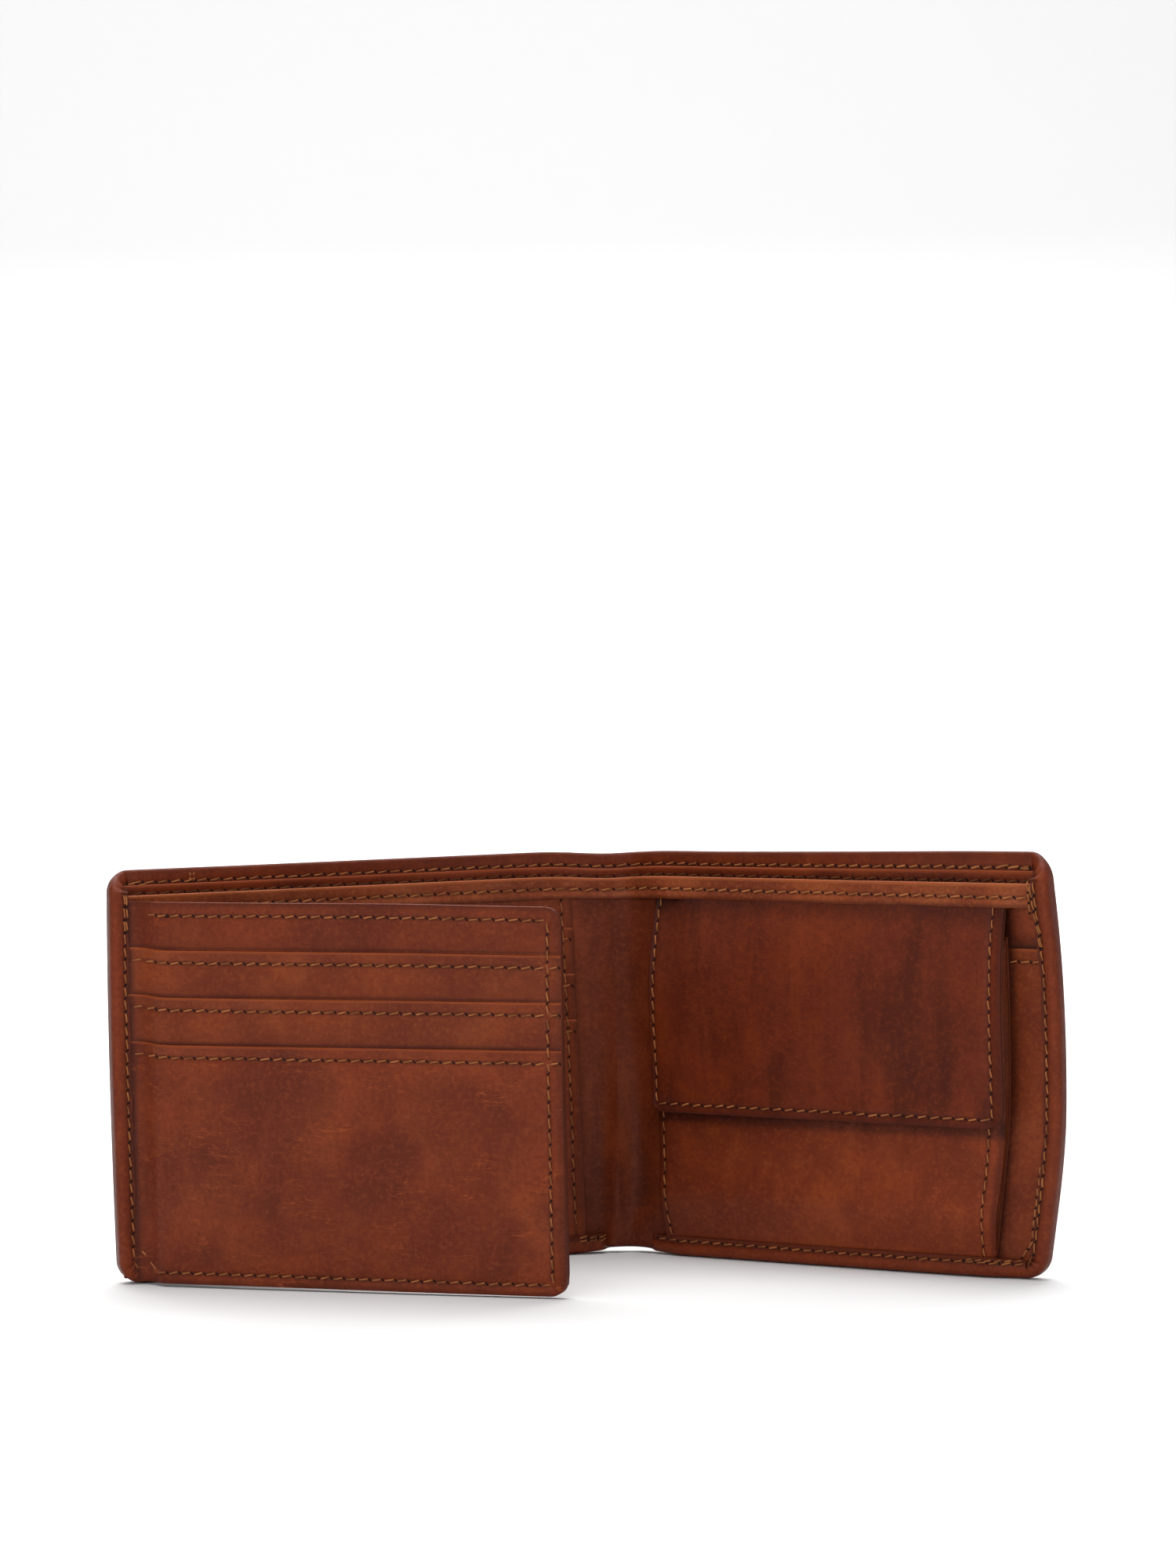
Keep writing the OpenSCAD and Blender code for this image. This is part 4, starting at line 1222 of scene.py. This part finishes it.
def flap_blend(o):
    middle = (fs0 + fs1) / 2
    point(middle, 5.2, 84.5)
    point(middle, 8.0, 75.5)
    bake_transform(o)


def flap_shade(s, h):
    """Painted shade: darker towards the flap's near side and along its root under the band."""
    return (0.35 * (1 - step(s, fs0, 45)) * step(h, 45, 78)
            + 0.6 * step(h, FLAP_TOP - 9, FLAP_TOP - 3))


half_t = (FLAP_W[1] - FLAP_W[0]) / 2
for name, node, d, material, seams in (
        ("flap_leather", "flap_outer", (-0.05, half_t), M_FLAP, list(flap_seams.values())),
        ("flap_inside", "flap_lining", (-half_t, -0.05), M_LINING, [])):
    o = panel(name, material, (fs0, fs1), (fz0, FLAP_TOP), d, place_flap,
              seams=seams, shape=flap_form, radii=(4.5, 0, 0, 2.2), burnish=(0.5, 1, 0.9, 0), gap=1.4,
              shade=flap_shade)
    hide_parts(node, *(("coin_flap_root",) if node == "flap_outer" else ()))
    flap_blend(o)


# ---------------------------------------------------------------- stitching
def sewn(name, runs, nodes, ride=None, bend=None, **more):
    o = stitches(name, runs, M_THREAD, **more)
    if nodes:
        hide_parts(*nodes)
    if ride:
        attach(o, ride)
    if bend:
        bend(o)
    return o


SUNK = 0.16  # how deep a stitch lies in the leather


def lip_run(points, pitch, side=1):
    """A row through the turned edge, on the inside, or for side -1 on the outside."""
    def depth(s, z):
        if side < 0:
            return np.zeros(np.shape(s))
        low = z < 12
        t = np.where(low & (abs(s) < HALF - 6), bottom_thickness(s), side_thickness(s, z))
        return t - SUNK
    return (points, pitch, depth, place, side)


def hem_run(points, pitch, side=1):
    """The same through the hem."""
    return (points, pitch, lambda s, z: np.full(np.shape(s), HEM - SUNK if side > 0 else 0.0),
            place, side)


E = HALF - SEW
Zb, Zt = SEW, HIGH - HEM_SEW
for where, sg in (("left", -1), ("right", 1)):
    corner = [(sg * E, 5.6), (sg * (E - 0.6), 4.1), (sg * (E - 2.2), Zb)]
    side_run = [(sg * E, HIGH - 5.0)] + corner[:1]
    low_run = corner + [(sg * 14.0, Zb + (0.3 if sg > 0 else 0))]
    runs = [lip_run(side_run, 3.0), lip_run(low_run, 3.1),
            lip_run(side_run, 3.4, -1), lip_run(low_run, 3.5, -1)]
    if sg > 0:  # sewn twice at both corners of the right half
        runs += [lip_run([(E - 0.9, HIGH - 6.0), (E - 0.3, HIGH - 20)], 2.6),
                 lip_run([(E - 1.3, HIGH - 5.0), (E - 1.6, HIGH - 12)], 2.2),
                 lip_run([(E - 0.8, 26.0), (E - 0.9, 8.0), (E - 3.5, 3.9), (E - 17, 3.9)], 2.5)]
    else:
        runs += [lip_run([(-E + 0.5, HIGH - 5.2), (-E + 0.4, HIGH - 14)], 2.7)]
    sewn("thread_border_%s_row" % where, runs, ["thread_border_%s" % where],
         ride="%s_half" % where, seed=3 + sg)

for where, (s0, s1) in SPLITS.items():
    s0, s1 = max(s0, -HALF + 5.5), min(s1, HALF - 5.5)
    hem = [hem_run([(s0, Zt), (s1, Zt)], 3.1), hem_run([(s0, Zt), (s1, Zt)], 3.5, -1)]
    if where == "left":
        hem += [hem_run([(s, HIGH - 0.9), (s, HIGH - 4.6)], 1.25) for s in (-97.4, -96.5)]
        hem += [hem_run([(-107.5, Zt - 0.6), (-112, Zt - 0.2), (-113.4, Zt - 2.6)], 2.2)]
    if where == "right":
        hem += [hem_run([(104.0, Zt + 0.5), (110.5, Zt - 0.2), (113.2, Zt - 2.4)], 2.3)]
    # the divider's row has lit 0.35: painted shade on the thread in the gap under the band
    wall = [on("divider_" + where, Seam((s0, DIV_SEW), (s1, DIV_SEW), pitch=3.2)) + (0.35,),
            on("band_" + where, Seam((s0 + (0.5 if where == "left" else 0), BAND_SEW), (s1, BAND_SEW),
                                     pitch=3.2))]
    names = {"left": ["thread_top_left"], "spine": [], "right": ["thread_top_right"]}[where]
    sewn("thread_hem_" + where, hem, names, bend=lambda o, w=where: across(o, w), seed=11)
    sewn("thread_walls_" + where, wall, names, bend=lambda o, w=where: across(o, w), seed=12)


def stack(names):
    """The front of the topmost of several panels, by their mouths' heights, lowest first."""
    surf = [(top, obj_surface[n][0]) for n, top in names]

    def depth(u, z):
        out = surf[-1][1](u, z)
        for top, f in reversed(surf[:-1]):
            out = np.where(z < top, f(u, z), out)
        return out
    return depth


card_depth = stack([("card_pocket_3", CARD_TOPS[2]), ("card_pocket_2", CARD_TOPS[1]),
                    ("card_pocket_1", CARD_TOPS[0]), ("card_backing", 200)])
leaf_depth = stack([("leaf_leather_pocket_3", LEAF_TOPS[2]), ("leaf_leather_pocket_2", LEAF_TOPS[1]),
                    ("leaf_leather_pocket_1", LEAF_TOPS[0]), ("leaf_leather_top_panel", 200)])


def rows(seams, depth, put, side=1):
    return [(s.points, s.pitch, depth, put, side) for s in seams]


card_thread = [Seam((CARD_S[1] - 2.6, 6.4), (CARD_S[1] - 2.6, BAND_Z[0] - 0.4), pitch=3.4)]
card_thread += [Seam((CARD_S[0] + 4, z - SLOT_SEW), (CARD_S[1] - 0.8, z - SLOT_SEW), pitch=3.5)
                for z in CARD_TOPS]
tack = [Seam((-6.6, 3.0 + i * 0.8), (0.8, 2.7 + i * 0.7), pitch=2.3) for i in range(2)]
sewn("thread_cards", rows(card_thread, card_depth, place_card)
     + [lip_run(t.points, t.pitch) for t in tack],
     ["thread_cards_left"], bend=lambda o: across(o, "left"), seed=21)

leaf_runs = [leaf_seams[k] for k in ("top", "free", "low", "low_turn")] + slot_seams
back_tack = Seam((3.2, lz1 - 2.8), (8.2, lz1 - 3.3), pitch=2.4)
o = sewn("thread_leaf_rows", rows(leaf_runs + [back_tack], leaf_depth, place_leaf)
         + [on("leaf_leather_back", leaf_seams[k], -1) for k in ("top", "free", "low")],
         ["thread_leaf"], seed=31)
leaf_blend(o)

coin_rows = [on("pouch_front", s) for s in pouch_seams]
coin_rows.append(on("slip_pocket", Seam((pf[1] - 7, SLIP_SEW), (HALF - 3.8, SLIP_SEW))))
sewn("thread_pouch", coin_rows, ["thread_coin"], ride="right_half", seed=41)
flap_rows = [on("flap_leather", s) for s in flap_seams.values()] + [
    on("flap_inside", s, -1) for s in flap_seams.values()]
o = sewn("thread_flap_rows", flap_rows, ["thread_flap"], seed=51)
flap_blend(o)

# ---------------------------------------------------------------- floor, light, camera
scene = bpy.context.scene
scene.view_settings.view_transform = "Standard"
scene.view_settings.look = "None"
FLOOR_WHITE = (0.70, 0.70, 0.70)
SKY_STRENGTH = 0.36
studio_white = Tree("studio_white").finish(Base_Color=FLOOR_WHITE, Roughness=0.9)
profile = [(-3.0, 0.0), (1.0, 0.0)] + [(1.0 + 0.9 * math.sin(a), 0.9 - 0.9 * math.cos(a))
                                       for a in np.linspace(0.1, math.pi / 2, 14)] + [(1.9, 3.5)]
verts = [(x, y, z - 0.0002) for y, z in profile for x in (-4.0, 4.0)]
faces = [(2 * i, 2 * i + 1, 2 * i + 3, 2 * i + 2) for i in range(len(profile) - 1)]
mesh = bpy.data.meshes.new("studio_floor")
mesh.from_pydata(verts, [], faces)
mesh.polygons.foreach_set("use_smooth", np.ones(len(faces), bool))
mesh.materials.append(studio_white)
floor = bpy.data.objects.new("studio_floor", mesh)
scene.collection.objects.link(floor)

world = bpy.data.worlds.new("studio")
scene.world = world
world.use_nodes = True
world.node_tree.nodes["Background"].inputs[0].default_value = (1.0, 1.0, 1.0, 1)
world.node_tree.nodes["Background"].inputs[1].default_value = SKY_STRENGTH


def softbox(name, where, at, size, watts):
    light = bpy.data.lights.new(name, "AREA")
    light.shape = "RECTANGLE"
    light.size, light.size_y = size
    light.energy = watts
    o = bpy.data.objects.new(name, light)
    o.location = where
    o.rotation_euler = (Vector(at) - Vector(where)).to_track_quat("-Z", "Y").to_euler()
    scene.collection.objects.link(o)
    return o


softbox("softbox_top", (-0.05, 0.02, 1.3), (0, 0.0, 0), (1.0, 0.7), 14)
softbox("softbox_rear", (0.0, 1.25, 0.95), (0, -0.15, 0), (1.8, 0.5), 16)
softbox("softbox_front", (-0.45, -1.35, 0.65), (0, 0, 0.05), (1.2, 0.8), 7)
softbox("softbox_right", (1.2, -0.7, 0.6), (0, 0, 0.05), (0.7, 0.9), 2.5)
softbox("softbox_back", (0.0, 0.75, 1.6), (0, 1.2, 0.3), (2.4, 0.6), 22)

TILT, TURN, ROLL = math.radians(3.39), math.radians(-2.44), math.radians(1.21)
camera_at = Vector((-0.0469, -1.1945, 0.1836))
back = Vector((math.sin(TURN) * math.cos(TILT), -math.cos(TURN) * math.cos(TILT), math.sin(TILT)))
camera = bpy.data.cameras.new("camera")
camera.lens = 120.15
camera.sensor_width = 36
camera.clip_end = 20
right = Vector((0, 0, 1)).cross(back).normalized()
up = back.cross(right)
rolled = (right * math.cos(ROLL) - up * math.sin(ROLL), right * math.sin(ROLL) + up * math.cos(ROLL))
cam = bpy.data.objects.new("camera", camera)
matrix = Matrix((*rolled, back)).transposed().to_4x4()
matrix.translation = camera_at
cam.matrix_world = matrix
scene.collection.objects.link(cam)
scene.camera = cam
